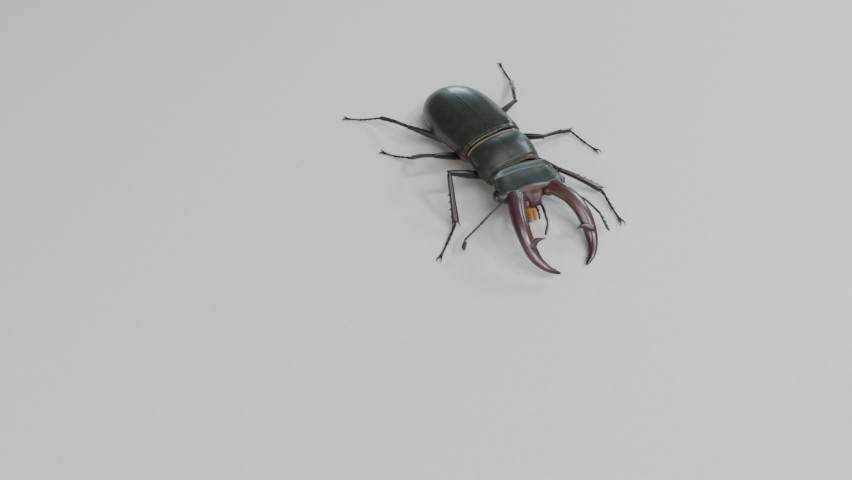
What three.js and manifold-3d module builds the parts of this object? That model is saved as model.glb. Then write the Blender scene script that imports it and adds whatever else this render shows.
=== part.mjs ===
// A life-size male stag beetle, standing on its six feet with its head lowered and turned.
// Millimetres. +Z is up, the head points to -Y and the beetle's left side is +X.
// The shapes are written with the floor at Z 0, the midline of the hind body at X 0 and the
// joint between prothorax and wing cases at Y 0. The last lines move the group so that the
// origin is the middle of its footprint.
import * as THREE from "three";
import { mergeVertices } from "three/addons/utils/BufferGeometryUtils.js";
import Module from "manifold-3d";

const wasm = await Module();
wasm.setup();

// ---- Driving dimensions ----
const GAP = 0.12; // clear space between pieces that touch in life
const FAR = 60; // beyond every piece, for the blocks that cut
const ELYTRA = {
  length: 30.6,
  halfWidth: 9.75,
  baseY: 0.5,
  height: 13,
  rearHeight: 5.4,
  widestAt: 0.42,
  highestAt: 0.4,
};
const ABDOMEN = { startY: 9.2, endY: 29.9, halfWidth: 8.75 };
const PTEROTHORAX = { startY: 0.0, endY: 9.1 };
const PROTHORAX = { rearY: -0.4, frontY: -9.8 };
const HEAD = { rearY: -9.3, frontY: -18.1, offset: 0.45 };
const NECK_PIVOT = new THREE.Vector3(0, -10, 7.2);
const WAIST_PIVOT = new THREE.Vector3(0, -0.5, 6.7);
const EYE = { place: [8.9, -16.3, 7.4], radius: 1.5, stretch: [0.85, 1.05, 1] };
const SCUTELLUM_PATH = [[0, 0.2, 11], [0, 3.6, 11.7]];
const SMOOTHNESS = 0.045; // largest step left out of a surface to keep the mesh light

// The hind body's rear end is lower than its front, and the front body bends from it. Degrees.
const STANCE = { pitch: -4, lift: 0.3 };
const BEND = {
  prothorax: { pitch: 3.7, roll: 0, yaw: -1.5 },
  head: { pitch: 8.4, roll: 9.9, yaw: -2.8 },
};

// Root, knee, ankle and toe of each leg, with the floor at Z 0.
const LEGS = {
  fore_right: [[-6.3, -4.6, 4.8], [-15.0, -2.0, 9.0], [-19.2, -11.6, 1.7], [-27.1, -17.7, 0.42]],
  mid_right: [[-6.6, 5.0, 4.0], [-15.1, 5.5, 8.9], [-17.9, 14.1, 2.6], [-22.8, 22.4, 0.42]],
  hind_right: [[-6.8, 12.8, 3.4], [-13.8, 22.4, 5.4], [-17.7, 33.7, 2.6], [-25.6, 41.8, 0.42]],
  fore_left: [[6.3, -4.6, 4.8], [10.2, -13.3, 5.4], [17.4, -22.6, 1.6], [15.6, -32.3, 0.42]],
  mid_left: [[6.6, 5.0, 4.0], [14.4, -1.3, 5.0], [24.2, -0.6, 1.5], [26.0, -9.8, 0.42]],
  hind_left: [[6.8, 12.8, 3.4], [17.4, 16.2, 3.9], [22.8, 26.2, 1.6], [25.6, 36.3, 0.42]],
};
// The palps and the two lobes of the tongue, from root to tip, with the floor at Z 0.
const MOUTH = {
  maxillary_palp_left: [
    [0.5, -18.5, 4.8], [0.2, -21.2, 4.4], [-0.8, -23.7, 4.5], [-1.4, -25.4, 3.7], [-3.3, -27.3, 2.2],
  ],
  maxillary_palp_right: [[-3.2, -18.0, 5.8], [-4.5, -20.5, 5.4], [-5.4, -21.7, 4.8], [-5.6, -24.1, 3.0]],
  labial_palp_left: [[-0.9, -18.5, 4.1], [-1.1, -21.0, 3.9], [-1.8, -22.9, 2.7]],
  labial_palp_right: [[-4.1, -18.5, 4.6], [-4.3, -21.0, 4.2], [-4.6, -22.6, 3.2]],
  tongue_left: [[-1.9, -18.5, 4.4], [-2.1, -20.6, 4.2], [-2.6, -22.2, 2.5]],
  tongue_right: [[-3.1, -18.5, 4.6], [-3.3, -20.5, 4.4], [-3.8, -22.1, 2.7]],
};
const PALP_RADIUS = { maxillary: 0.36, labial: 0.3 };
const TONGUE = { width: 0.54, height: 0.42, tipWidth: 0.28, tipHeight: 0.3 };

// Radii of each pair of legs, and the number of teeth along the shin.
const LEG_SIZES = {
  fore: { femur: 1.12, tibia: 0.62, ankle: 0.95, tarsus: 0.46, teeth: 4 },
  mid: { femur: 1.02, tibia: 0.46, ankle: 0.66, tarsus: 0.42, teeth: 1 },
  hind: { femur: 1.02, tibia: 0.46, ankle: 0.64, tarsus: 0.42, teeth: 1 },
};

// A coxa is the stub that carries a leg. It runs from under the body to just past the leg's root.
const COXA = {
  innerX: 2.2,
  innerDrop: 1.2,
  innerRadius: 1.75,
  overlapX: 0.4,
  outerDrop: 0.4,
  outerRadius: 1.2,
};
const SHIN_BOW = 0.35;
const SHIN_TOOTH = { radius: 0.42, reach: 0.45, lean: 0.7, firstAt: 0.42, spacing: 0.14, aloneAt: 0.55 };
const SPUR = { radius: 0.4, reach: 0.25, length: 1.3, rootAt: 0.96, lowest: 0.35 };
// Places along the foot, and the share of its drop that is left where it comes near the floor.
const TARSUS_JOINTS = [0, 0.17, 0.31, 0.44, 0.56, 1];
const TARSUS_LANDING = { at: 0.55, height: 0.22 };
// The two claws of a foot part by twice the spread, in degrees.
const CLAW = {
  spread: 48,
  overlap: 0.3,
  middle: { ahead: 0.35, aside: 0.6, rise: 0.2 },
  tip: { ahead: 1.15, aside: 0.75, height: 0.08 },
  rootRadius: 0.3,
  tipRadius: 0.14,
};

// Root, elbow, wrist and tip of each antenna, with the floor at Z 0.
const ANTENNAE = {
  right: [[-9.0, -16.6, 7.3], [-15.8, -17.8, 5.0], [-20.7, -18.6, 3.4], [-22.2, -19.8, 2.9]],
  left: [[7.8, -17.9, 4.2], [10.9, -24.6, 3.5], [11.0, -29.6, 3.5], [9.6, -33.9, 3.3]],
};
const ANTENNA = {
  scapeRadius: 0.27,
  scapeEndRadius: 0.37,
  funicleRadius: 0.29,
  clubSize: [0.32, 0.27],
  leafPlaces: [0.2, 0.47, 0.73, 0.97],
  leafReach: [0, -1.25, -0.12],
  leafSize: [0.29, 0.27],
};

// The upper lip slopes down between the mandibles. Both are written in the head's own frame.
const LIP_PATH = [[-0.3, HEAD.frontY, 8.5], [-0.4, -20, 7.7], [-0.5, -21.4, 6.5]];
// The left mandible sweeps out, forward and in again. The right one is its mirror image.
const MANDIBLE_PATH = [
  [4.9, HEAD.frontY + 0.6, 8.1],
  [6.1, -20, 9],
  [7.7, -23.6, 9.2],
  [8.5, -27.3, 8.7],
  [8.6, -30.7, 7.6],
  [8.3, -33.3, 6.5],
  [7.5, -35.6, 5.8],
  [5.9, -37.9, 5.3],
  [3.7, -39.5, 4.8],
];
const MANDIBLE_TOOTH = { at: 0.56, tip: [4.3, -31.6, 8.6], radius: 1.4 };
const DENTICLES = [
  { at: 0.68, length: 1.75, radius: 0.5 },
  { at: 0.74, length: 1.6, radius: 0.45 },
  { at: 0.8, length: 1.4, radius: 0.4 },
];

// ---- Colours ----
const paint = (color, roughness) =>
  new THREE.MeshStandardMaterial({ color, roughness, metalness: 0 });
const MATERIALS = {
  wingCase: paint(0x22231b, 0.3),
  shell: paint(0x1c211d, 0.38),
  mandible: paint(0x4a1614, 0.25),
  limb: paint(0x0d0e0e, 0.32),
  eye: paint(0x0b0a08, 0.12),
  tongue: paint(0xc9791f, 0.7),
};

// ---- Small helpers ----
const NEAR_END = 0.001; // closer than this to 0 or 1 counts as a rod's end
const degrees = (value) => (value * Math.PI) / 180;
const clamp01 = (value) => Math.min(1, Math.max(0, value));

// A smooth curve through [place, value] pairs, flat past its ends.
function track(pairs) {
  return (t) => {
    const last = pairs.length - 1;
    if (t <= pairs[0][0]) return pairs[0][1];
    if (t >= pairs[last][0]) return pairs[last][1];
    let i = 0;
    while (t > pairs[i + 1][0]) i += 1;
    const slopeAt = (k) => {
      const a = pairs[Math.max(0, k - 1)];
      const b = pairs[Math.min(last, k + 1)];
      return (b[1] - a[1]) / (b[0] - a[0]);
    };
    const [t0, v0] = pairs[i];
    const [t1, v1] = pairs[i + 1];
    const span = t1 - t0;
    const s = (t - t0) / span;
    const s2 = s * s;
    const s3 = s2 * s;
    return (
      (2 * s3 - 3 * s2 + 1) * v0 +
      (s3 - 2 * s2 + s) * span * slopeAt(i) +
      (3 * s2 - 2 * s3) * v1 +
      (s3 - s2) * span * slopeAt(i + 1)
    );
  };
}

// A closed three.js geometry as a solid that faces outwards.
function solidOf(geometry) {
  geometry.deleteAttribute("normal");
  geometry.deleteAttribute("uv");
  const merged = mergeVertices(geometry, 1e-4);
  const triVerts = new Uint32Array(merged.index.array);
  const make = () =>
    new wasm.Manifold(
      new wasm.Mesh({
        numProp: 3,
        vertProperties: merged.attributes.position.array,
        triVerts,
      }),
    );
  const made = make();
  if (made.volume() >= 0) return made;
  for (let i = 0; i < triVerts.length; i += 3)
    [triVerts[i + 1], triVerts[i + 2]] = [triVerts[i + 2], triVerts[i + 1]];
  return make();
}

// A solid as a named mesh. Chips that a cut leaves apart from the main piece are dropped.
function meshOf(name, solid, material) {
  const pieces = solid.simplify(SMOOTHNESS).decompose();
  const main = pieces.reduce((a, b) => (a.volume() > b.volume() ? a : b));
  const { vertProperties, triVerts } = main.getMesh();
  const geometry = new THREE.BufferGeometry()
    .setAttribute("position", new THREE.BufferAttribute(vertProperties, 3))
    .setIndex(new THREE.BufferAttribute(triVerts, 1));
  geometry.computeVertexNormals();
  const mesh = new THREE.Mesh(geometry, material);
  mesh.name = name;
  return mesh;
}

const moved = (solid, matrix) => solid.transform(matrix.elements);
const mirrored = (solid) =>
  moved(solid, new THREE.Matrix4().makeScale(-1, 1, 1));
const joined = (solids) => solids.reduce((a, b) => a.add(b));

function block(from, to) {
  const size = new THREE.Vector3().subVectors(to, from);
  const geometry = new THREE.BoxGeometry(size.x, size.y, size.z);
  geometry.translate(
    from.x + size.x / 2,
    from.y + size.y / 2,
    from.z + size.z / 2,
  );
  return solidOf(geometry);
}

// Turns a unit cylinder into a body: place(t, angle, radius) gives each point.
function wrapped(steps, sides, place) {
  const geometry = new THREE.CylinderGeometry(1, 1, 1, sides, steps);
  const position = geometry.attributes.position;
  for (let i = 0; i < position.count; i += 1) {
    const x = position.getX(i);
    const z = position.getZ(i);
    const radius = Math.hypot(x, z);
    const point = place(position.getY(i) + 0.5, Math.atan2(z, x), radius);
    position.setXYZ(i, point.x, point.y, point.z);
  }
  return solidOf(geometry);
}

// A body along Y. Its section has one curve above its edge line and another below it.
// grow makes it that much larger all round, for a cut that leaves a clear space.
function trunk(form, grow = 0) {
  return wrapped(form.steps, form.sides, (t, angle, radius) => {
    const along = form.ease ? form.ease(t) : t;
    const c = Math.cos(angle);
    const s = Math.sin(angle);
    const power = s >= 0 ? form.topPower : form.bottomPower;
    const reach =
      radius * (Math.abs(c) ** power + Math.abs(s) ** power) ** (-1 / power);
    const edge = form.edge(along);
    const rise = s >= 0 ? form.top(along) - edge : edge - form.bottom(along);
    const length = form.endY - form.startY;
    const bow = form.bow ? form.bow(along) * Math.max(0, s) * (1 - (c * reach) ** 2) : 0;
    return {
      x: c * reach * (form.halfWidth(along) + grow),
      y: form.startY + length * along + grow * Math.sign(length) * (2 * t - 1) + bow,
      z: edge + s * reach * (rise + grow),
    };
  });
}

// A rod along a curve. size(t) gives its half width and half height.
function rod(points, steps, sides, size, grow = 0) {
  const curve = new THREE.CatmullRomCurve3(
    points.map((p) => new THREE.Vector3(...p)),
    false,
    "centripetal",
  );
  const up = new THREE.Vector3(0, 0, 1);
  return wrapped(steps, sides, (t, angle, radius) => {
    const tangent = curve.getTangent(t);
    const side = new THREE.Vector3().crossVectors(tangent, up).normalize();
    const over = new THREE.Vector3().crossVectors(side, tangent);
    const [wide, high] = size(t);
    const end = (t < NEAR_END ? -grow : 0) + (t > 1 - NEAR_END ? grow : 0);
    return curve
      .getPoint(t)
      .addScaledVector(tangent, end)
      .addScaledVector(side, Math.cos(angle) * radius * (wide + grow))
      .addScaledVector(over, Math.sin(angle) * radius * (high + grow));
  });
}

// A pointed spine from root to tip.
const SPINE_TAPER = 0.88;
const spine = (root, tip, radius, sides) =>
  rod([root, tip], 1, sides, (t) => {
    const r = radius * (1 - SPINE_TAPER * t);
    return [r, r];
  });

function bendMatrix(pivot, bend) {
  const turn = new THREE.Matrix4().makeRotationFromEuler(
    new THREE.Euler(
      degrees(bend.pitch),
      degrees(bend.roll),
      degrees(bend.yaw),
      "YXZ",
    ),
  );
  return new THREE.Matrix4()
    .makeTranslation(pivot.x, pivot.y, pivot.z)
    .multiply(turn)
    .multiply(
      new THREE.Matrix4().makeTranslation(-pivot.x, -pivot.y, -pivot.z),
    );
}

// ---- Trunk forms ----
// More stations near the ends, where the outline turns fastest.
const roundEnds = (t) => 0.5 - 0.5 * Math.cos(Math.PI * t);
const roundFarEnd = (t) => Math.sin((Math.PI / 2) * t);
// Falls from 1 at the given place to 0 at the end, as the quarter of a rounded oblong does.
const roundedOff = (t, from, power) =>
  Math.sqrt(1 - clamp01((t - from) / (1 - from)) ** power);

const elytraForm = {
  steps: 13,
  sides: 28,
  startY: ELYTRA.baseY,
  endY: ELYTRA.baseY + ELYTRA.length,
  ease: roundFarEnd,
  topPower: 2.3,
  bottomPower: 2,
  halfWidth: (t) =>
    ELYTRA.halfWidth *
    (t < ELYTRA.widestAt
      ? track([[0, 0.86], [0.03, 0.905], [0.14, 0.945], [ELYTRA.widestAt, 1]])(t)
      : Math.max(0.08, roundedOff(t, ELYTRA.widestAt, 2.6))),
  edge: (t) => 7.7 - 2.5 * t,
  top: (t) =>
    t < ELYTRA.highestAt
      ? track([[0, 11.8], [0.04, 12.25], [0.15, 12.65], [ELYTRA.highestAt, ELYTRA.height]])(t)
      : ELYTRA.rearHeight +
        (ELYTRA.height - ELYTRA.rearHeight) * roundedOff(t, ELYTRA.highestAt, 2.4),
  bottom: (t) => 7.4 - 2.5 * t,
};

const abdomenForm = {
  steps: 10,
  sides: 22,
  startY: ABDOMEN.startY,
  endY: ABDOMEN.endY,
  ease: roundFarEnd,
  topPower: 2.3,
  bottomPower: 2.4,
  halfWidth: (t) => ABDOMEN.halfWidth * Math.max(0.1, Math.sqrt(1 - (0.995 * t) ** 3.2)),
  edge: (t) => 6.3 - 1.5 * t,
  top: track([[0, 11.6], [0.4, 11], [0.75, 8.6], [1, 5]]),
  bottom: track([[0, 2.3], [0.5, 2.45], [0.85, 3.4], [1, 4.6]]),
};

const pterothoraxForm = {
  steps: 4,
  sides: 22,
  startY: PTEROTHORAX.startY,
  endY: PTEROTHORAX.endY,
  topPower: 2.3,
  bottomPower: 2.6,
  halfWidth: track([[0, 6.2], [0.25, 7.8], [0.6, 8.6], [1, ABDOMEN.halfWidth]]),
  edge: track([[0, 6.6], [1, 6.3]]),
  top: track([[0, 10.3], [0.2, 11.2], [1, 11.6]]),
  bottom: track([[0, 3.4], [0.3, 2.4], [1, 2.2]]),
};

const prothoraxForm = {
  steps: 9,
  sides: 26,
  startY: PROTHORAX.rearY,
  endY: PROTHORAX.frontY,
  ease: roundEnds,
  topPower: 2.35,
  bottomPower: 2.5,
  halfWidth: track([[0, 7.4], [0.04, 7.9], [0.3, 8.2], [0.65, 8.15], [0.93, 7.6], [1, 7]]),
  edge: track([[0, 8], [0.5, 7.6], [1, 6.8]]),
  top: track([[0, 11.3], [0.05, 11.8], [0.45, 12.3], [0.9, 10.75], [1, 10.1]]),
  bottom: track([[0, 4.4], [0.15, 3.2], [0.5, 2.9], [0.85, 3.1], [1, 4]]),
};

const headForm = {
  steps: 10,
  sides: 24,
  startY: HEAD.rearY,
  endY: HEAD.frontY,
  topPower: 3.4,
  bottomPower: 2,
  halfWidth: track([[0, 5.6], [0.1, 6.8], [0.22, 8], [0.5, 8.5], [0.75, 9.1], [0.9, 9.5], [1, 8.9]]),
  edge: track([[0, 7.6], [0.2, 8.3], [1, 8.3]]),
  top: track([[0, 8.8], [0.12, 9.2], [0.24, 10.5], [0.4, 9.9], [0.8, 9.8], [1, 9.7]]),
  bottom: track([[0, 4.4], [0.3, 3.5], [0.7, 3.7], [1, 4.8]]),
  bow: track([[0, 0.9], [0.24, 0.9], [0.6, 0]]),
};

// ---- Frames: the hind body on the floor, the front body bent from it, the head from that ----
const thoraxBend = bendMatrix(WAIST_PIVOT, BEND.prothorax);
const headBend = bendMatrix(NECK_PIVOT, BEND.head).multiply(
  new THREE.Matrix4().makeTranslation(HEAD.offset, 0, 0),
);
const headInHind = thoraxBend.clone().multiply(headBend);
const hindOnFloor = new THREE.Matrix4()
  .makeTranslation(0, 0, STANCE.lift)
  .multiply(new THREE.Matrix4().makeRotationX(degrees(STANCE.pitch)));

const beetle = new THREE.Group();
const hindBody = new THREE.Group();
hindBody.applyMatrix4(hindOnFloor);
beetle.add(hindBody);
const frontBody = new THREE.Group();
frontBody.applyMatrix4(thoraxBend);
hindBody.add(frontBody);
const headGroup = new THREE.Group();
headGroup.applyMatrix4(headBend);
frontBody.add(headGroup);

// ---- Hind body and prothorax ----
const abdomen = trunk(abdomenForm);
const prothorax = trunk(prothoraxForm);
const prothoraxGrown = moved(trunk(prothoraxForm, GAP), thoraxBend);
const pterothorax = trunk(pterothoraxForm).subtract(prothoraxGrown);
const hindGrown = joined([trunk(abdomenForm, GAP), trunk(pterothoraxForm, GAP)]);

// The scutellum is the small shield between the wing cases' roots.
const scutellumWidth = track([[0, 2], [0.5, 1.5], [1, 0.35]]);
const scutellumHeight = track([[0, 0.9], [1, 0.8]]);
const scutellumShape = (grow) =>
  rod(SCUTELLUM_PATH, 2, 12, (t) => [scutellumWidth(t), scutellumHeight(t)], grow);
const scutellum = scutellumShape(0)
  .subtract(hindGrown)
  .subtract(prothoraxGrown);

// The two wing cases are one shell, hollow over the body and split along the midline.
const wingCases = trunk(elytraForm)
  .subtract(hindGrown)
  .subtract(prothoraxGrown)
  .subtract(scutellumShape(GAP));
const leftHalf = block(
  new THREE.Vector3(GAP / 2, -FAR, -FAR),
  new THREE.Vector3(FAR, FAR, FAR),
);

hindBody.add(
  meshOf("abdomen", abdomen, MATERIALS.limb),
  meshOf("pterothorax", pterothorax, MATERIALS.limb),
  meshOf("scutellum", scutellum, MATERIALS.wingCase),
  meshOf("elytron_left", wingCases.intersect(leftHalf), MATERIALS.wingCase),
  meshOf(
    "elytron_right",
    wingCases.intersect(mirrored(leftHalf)),
    MATERIALS.wingCase,
  ),
);
frontBody.add(meshOf("prothorax", prothorax, MATERIALS.shell));

// ---- Head, in its own frame before it bends ----
const headOnFloor = hindOnFloor.clone().multiply(headInHind);
const eyeShape = (sign, radius) => {
  const geometry = new THREE.SphereGeometry(radius, 10, 7);
  geometry.scale(...EYE.stretch);
  const [x, y, z] = EYE.place;
  geometry.translate(sign * x, y, z);
  return solidOf(geometry);
};
const headShell = trunk(headForm)
  .subtract(moved(prothoraxGrown, headInHind.clone().invert()))
  .subtract(eyeShape(1, EYE.radius + GAP))
  .subtract(eyeShape(-1, EYE.radius + GAP));

// Everything that hangs from the front of the head starts just clear of it.
const frontFaceY = HEAD.frontY - GAP;
const behindFrontFace = block(
  new THREE.Vector3(-FAR, frontFaceY, -FAR),
  new THREE.Vector3(FAR, FAR, FAR),
);

const lipWidth = track([[0, 2.6], [0.5, 1.85], [1, 1.4]]);
const lipHeight = track([[0, 0.9], [1, 0.45]]);
const lip = rod(LIP_PATH, 4, 12, (t) => [lipWidth(t), lipHeight(t)]).subtract(behindFrontFace);

headGroup.add(
  meshOf("head", headShell, MATERIALS.shell),
  meshOf("upper_lip", lip, MATERIALS.mandible),
);

// ---- Mandibles, each with one large tooth and a row of small ones ----
const mandibleWidth = track([
  [0, 2.5], [0.14, 2.15], [0.3, 1.85], [0.58, 1.5], [0.7, 1.3], [0.8, 1.05], [0.9, 0.75], [1, 0.2],
]);
const mandibleHeight = track([[0, 1.6], [0.2, 1.55], [0.5, 1.35], [0.75, 1.05], [0.9, 0.65], [1, 0.2]]);
const mandibleCurve = new THREE.CatmullRomCurve3(
  MANDIBLE_PATH.map((p) => new THREE.Vector3(...p)),
  false,
  "centripetal",
);
const denticle = ({ at, length, radius }) => {
  const root = mandibleCurve.getPoint(at);
  const tangent = mandibleCurve.getTangent(at);
  const inward = new THREE.Vector3(tangent.y, -tangent.x, 0).normalize();
  const tip = root.clone().addScaledVector(inward, length);
  return spine(root.toArray(), tip.toArray(), radius, 8);
};
const largeToothRoot = mandibleCurve.getPoint(MANDIBLE_TOOTH.at).toArray();
const mandible = joined([
  rod(MANDIBLE_PATH, 16, 10, (t) => [mandibleWidth(t), mandibleHeight(t)]),
  spine(largeToothRoot, MANDIBLE_TOOTH.tip, MANDIBLE_TOOTH.radius, 8),
  ...DENTICLES.map(denticle),
]).subtract(behindFrontFace);

// ---- Mandibles, eyes and antennae on both sides ----
const headGrown = moved(trunk(headForm, GAP), headOnFloor);
const sameAllRound = (radius) => () => [radius, radius];
for (const [side, sign] of [["left", 1], ["right", -1]]) {
  const jaw = sign > 0 ? mandible : mirrored(mandible);
  headGroup.add(
    meshOf("mandible_" + side, jaw, MATERIALS.mandible),
    meshOf("eye_" + side, eyeShape(sign, EYE.radius), MATERIALS.eye),
  );

  // An antenna is a long scape, a bent funicle and a club of leaves.
  const [root, elbow, wrist, tip] = ANTENNAE[side];
  const scapeSize = (t) => {
    const r = ANTENNA.scapeRadius + (ANTENNA.scapeEndRadius - ANTENNA.scapeRadius) * t ** 3;
    return [r, r];
  };
  const scapeGrown = rod([root, elbow], 3, 8, scapeSize, GAP);
  const scape = rod([root, elbow], 3, 8, scapeSize).subtract(headGrown);
  const funicleSize = sameAllRound(ANTENNA.funicleRadius);
  const funicle = rod([elbow, wrist], 3, 8, funicleSize).subtract(scapeGrown);
  const funicleGrown = rod([elbow, wrist], 3, 8, funicleSize, GAP);
  const leaves = ANTENNA.leafPlaces.map((t) => {
    const from = new THREE.Vector3(...wrist).lerp(new THREE.Vector3(...tip), t);
    const to = from.clone().add(new THREE.Vector3(...ANTENNA.leafReach));
    return rod([from.toArray(), to.toArray()], 1, 5, () => ANTENNA.leafSize);
  });
  const stalk = rod([wrist, tip], 1, 6, () => ANTENNA.clubSize);
  const club = joined([stalk, ...leaves]).subtract(funicleGrown);
  beetle.add(
    meshOf("antenna_scape_" + side, scape, MATERIALS.limb),
    meshOf("antenna_funicle_" + side, funicle, MATERIALS.limb),
    meshOf("antenna_club_" + side, club, MATERIALS.limb),
  );
}

// ---- Palps and tongue ----
const behindFaceOnFloor = moved(behindFrontFace, headOnFloor);
const PALP_BEADS = 4;
for (const [name, points] of Object.entries(MOUTH)) {
  const radius = PALP_RADIUS[name.split("_")[0]];
  // A palp is a row of beads, and a lobe of the tongue tapers.
  const palpSize = (t) => {
    const r = radius * (0.86 + 0.14 * Math.cos(2 * Math.PI * PALP_BEADS * t));
    return [r, r];
  };
  const lobeSize = (t) => [
    TONGUE.width + (TONGUE.tipWidth - TONGUE.width) * t ** 2,
    TONGUE.height + (TONGUE.tipHeight - TONGUE.height) * t,
  ];
  const shape = radius ? rod(points, 2 * PALP_BEADS, 6, palpSize) : rod(points, 4, 6, lobeSize);
  const material = radius ? MATERIALS.limb : MATERIALS.tongue;
  beetle.add(meshOf(name, shape.subtract(behindFaceOnFloor), material));
}

// ---- Legs ----
const floorBlock = block(
  new THREE.Vector3(-FAR, -FAR, -FAR),
  new THREE.Vector3(FAR, FAR, 0),
);
const bodyGrown = moved(joined([hindGrown, prothoraxGrown]), hindOnFloor);

// Thickest near the middle and flattened from front to back.
const femurSize = (thick) => (t) => {
  const swell = 0.62 + 0.38 * Math.sin(Math.PI * Math.min(1, t * 0.95 + 0.1));
  return [thick * swell * 0.85, thick * swell];
};
// Widens to the ankle, more across than up and down.
const tibiaSize = (slim, wide) => (t) => {
  const r = slim + (wide - slim) * t ** 2.2;
  return [r, 0.6 * r + 0.4 * slim];
};

// Five joints in a row, each a little bead, the last one longest.
const tarsusSize = (thick) => (t) => {
  const last = TARSUS_JOINTS.length - 2;
  const i = Math.min(
    last,
    TARSUS_JOINTS.findLastIndex((place) => t >= place - 1e-6),
  );
  const s = (t - TARSUS_JOINTS[i]) / (TARSUS_JOINTS[i + 1] - TARSUS_JOINTS[i]);
  const r = thick * (0.62 + 0.38 * Math.sin((Math.PI / 2) * clamp01(s * 1.05)));
  return [r, r];
};

for (const [name, [root, knee, ankle, toe]] of Object.entries(LEGS)) {
  const [pair, side] = name.split("_");
  const sign = side === "left" ? 1 : -1;
  const size = LEG_SIZES[pair];
  const at = (point) => new THREE.Vector3(...point);

  const coxaPoints = [
    [sign * COXA.innerX, root[1], root[2] - COXA.innerDrop],
    [root[0] + sign * COXA.overlapX, root[1], root[2] - COXA.outerDrop],
  ];
  const coxaSize = (t) => {
    const r = COXA.innerRadius + (COXA.outerRadius - COXA.innerRadius) * t;
    return [r, r];
  };
  const coxa = rod(coxaPoints, 2, 10, coxaSize).subtract(bodyGrown);
  const coxaGrown = rod(coxaPoints, 2, 10, coxaSize, GAP);

  const femurPoints = [root, knee];
  const femur = rod(femurPoints, 6, 10, femurSize(size.femur))
    .subtract(bodyGrown)
    .subtract(coxaGrown);
  const femurGrown = rod(femurPoints, 6, 10, femurSize(size.femur), GAP);

  // The shin bows slightly and carries outer teeth and two spurs at its end.
  const shinMiddle = at(knee).lerp(at(ankle), 0.5);
  shinMiddle.z += SHIN_BOW;
  const tibiaPoints = [knee, shinMiddle.toArray(), ankle];
  const along = at(ankle).sub(at(knee)).normalize();
  const outward = new THREE.Vector3(sign, 0, 0)
    .addScaledVector(along, -along.x * sign)
    .normalize();
  const shinPoint = (t) => at(knee).lerp(at(ankle), t);
  const teeth = [];
  for (let i = 0; i < size.teeth; i += 1) {
    const t = size.teeth > 1 ? SHIN_TOOTH.firstAt + SHIN_TOOTH.spacing * i : SHIN_TOOTH.aloneAt;
    const start = shinPoint(t);
    start.z += SHIN_BOW * Math.sin(Math.PI * t);
    const tip = start
      .clone()
      .addScaledVector(outward, size.ankle + SHIN_TOOTH.reach)
      .addScaledVector(along, SHIN_TOOTH.lean);
    teeth.push(spine(start.toArray(), tip.toArray(), SHIN_TOOTH.radius, 5));
  }
  for (const turn of [-1, 1]) {
    const start = shinPoint(SPUR.rootAt);
    const tip = shinPoint(1)
      .addScaledVector(along, SPUR.length)
      .addScaledVector(outward, turn * (size.ankle + SPUR.reach));
    tip.z = Math.max(tip.z, SPUR.lowest);
    teeth.push(spine(start.toArray(), tip.toArray(), SPUR.radius, 5));
  }
  const tibiaSizes = tibiaSize(size.tibia, size.ankle);
  const tibia = joined([rod(tibiaPoints, 6, 8, tibiaSizes), ...teeth])
    .subtract(femurGrown)
    .subtract(floorBlock);
  const tibiaGrown = joined([
    rod(tibiaPoints, 6, 8, tibiaSizes, GAP),
    ...teeth,
  ]);

  // The foot leaves the shin, comes down to the floor and runs along it to two claws.
  const ahead = at(toe).sub(at(ankle)).setZ(0).normalize();
  const landing = at(ankle).lerp(at(toe), TARSUS_LANDING.at);
  landing.z = toe[2] + TARSUS_LANDING.height * (ankle[2] - toe[2]);
  const foot = rod(
    [ankle, landing.toArray(), toe],
    10,
    6,
    tarsusSize(size.tarsus),
  );
  const claws = [-1, 1].map((turn) => {
    const aside = ahead
      .clone()
      .applyAxisAngle(new THREE.Vector3(0, 0, 1), turn * degrees(CLAW.spread));
    const start = at(toe).addScaledVector(ahead, -CLAW.overlap);
    const middle = at(toe)
      .addScaledVector(ahead, CLAW.middle.ahead)
      .addScaledVector(aside, CLAW.middle.aside);
    middle.z += CLAW.middle.rise;
    const end = at(toe)
      .addScaledVector(ahead, CLAW.tip.ahead)
      .addScaledVector(aside, CLAW.tip.aside);
    end.z = CLAW.tip.height;
    const clawSize = (t) => {
      const r = CLAW.rootRadius + (CLAW.tipRadius - CLAW.rootRadius) * t;
      return [r, r];
    };
    return rod([start.toArray(), middle.toArray(), end.toArray()], 3, 5, clawSize);
  });
  const tarsus = joined([foot, ...claws])
    .subtract(tibiaGrown)
    .subtract(floorBlock);

  beetle.add(
    meshOf(`coxa_${name}`, coxa, MATERIALS.limb),
    meshOf(`femur_${name}`, femur, MATERIALS.limb),
    meshOf(`tibia_${name}`, tibia, MATERIALS.limb),
    meshOf(`tarsus_${name}`, tarsus, MATERIALS.limb),
  );
}

// ---- Origin at the middle of the footprint, on the floor ----
beetle.updateMatrixWorld(true);
const bounds = new THREE.Box3().setFromObject(beetle, true);
const centre = bounds.getCenter(new THREE.Vector3());
beetle.position.set(-centre.x, -centre.y, -bounds.min.z);

const part = new THREE.Group();
part.add(beetle);

export default part;
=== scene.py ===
"""A life-size male stag beetle: the fine surfaces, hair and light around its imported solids.

Shapes are written in millimetres in the floor frame: the floor at Z 0, the midline of the hind
body at X 0 and the joint between prothorax and wing cases at Y 0. The head points to -Y and the
beetle's left is +X. make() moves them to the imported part's frame and turns them into metres.
"""
from itertools import pairwise
from math import cos, pi, radians, sin
from types import SimpleNamespace as Sizes

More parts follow.
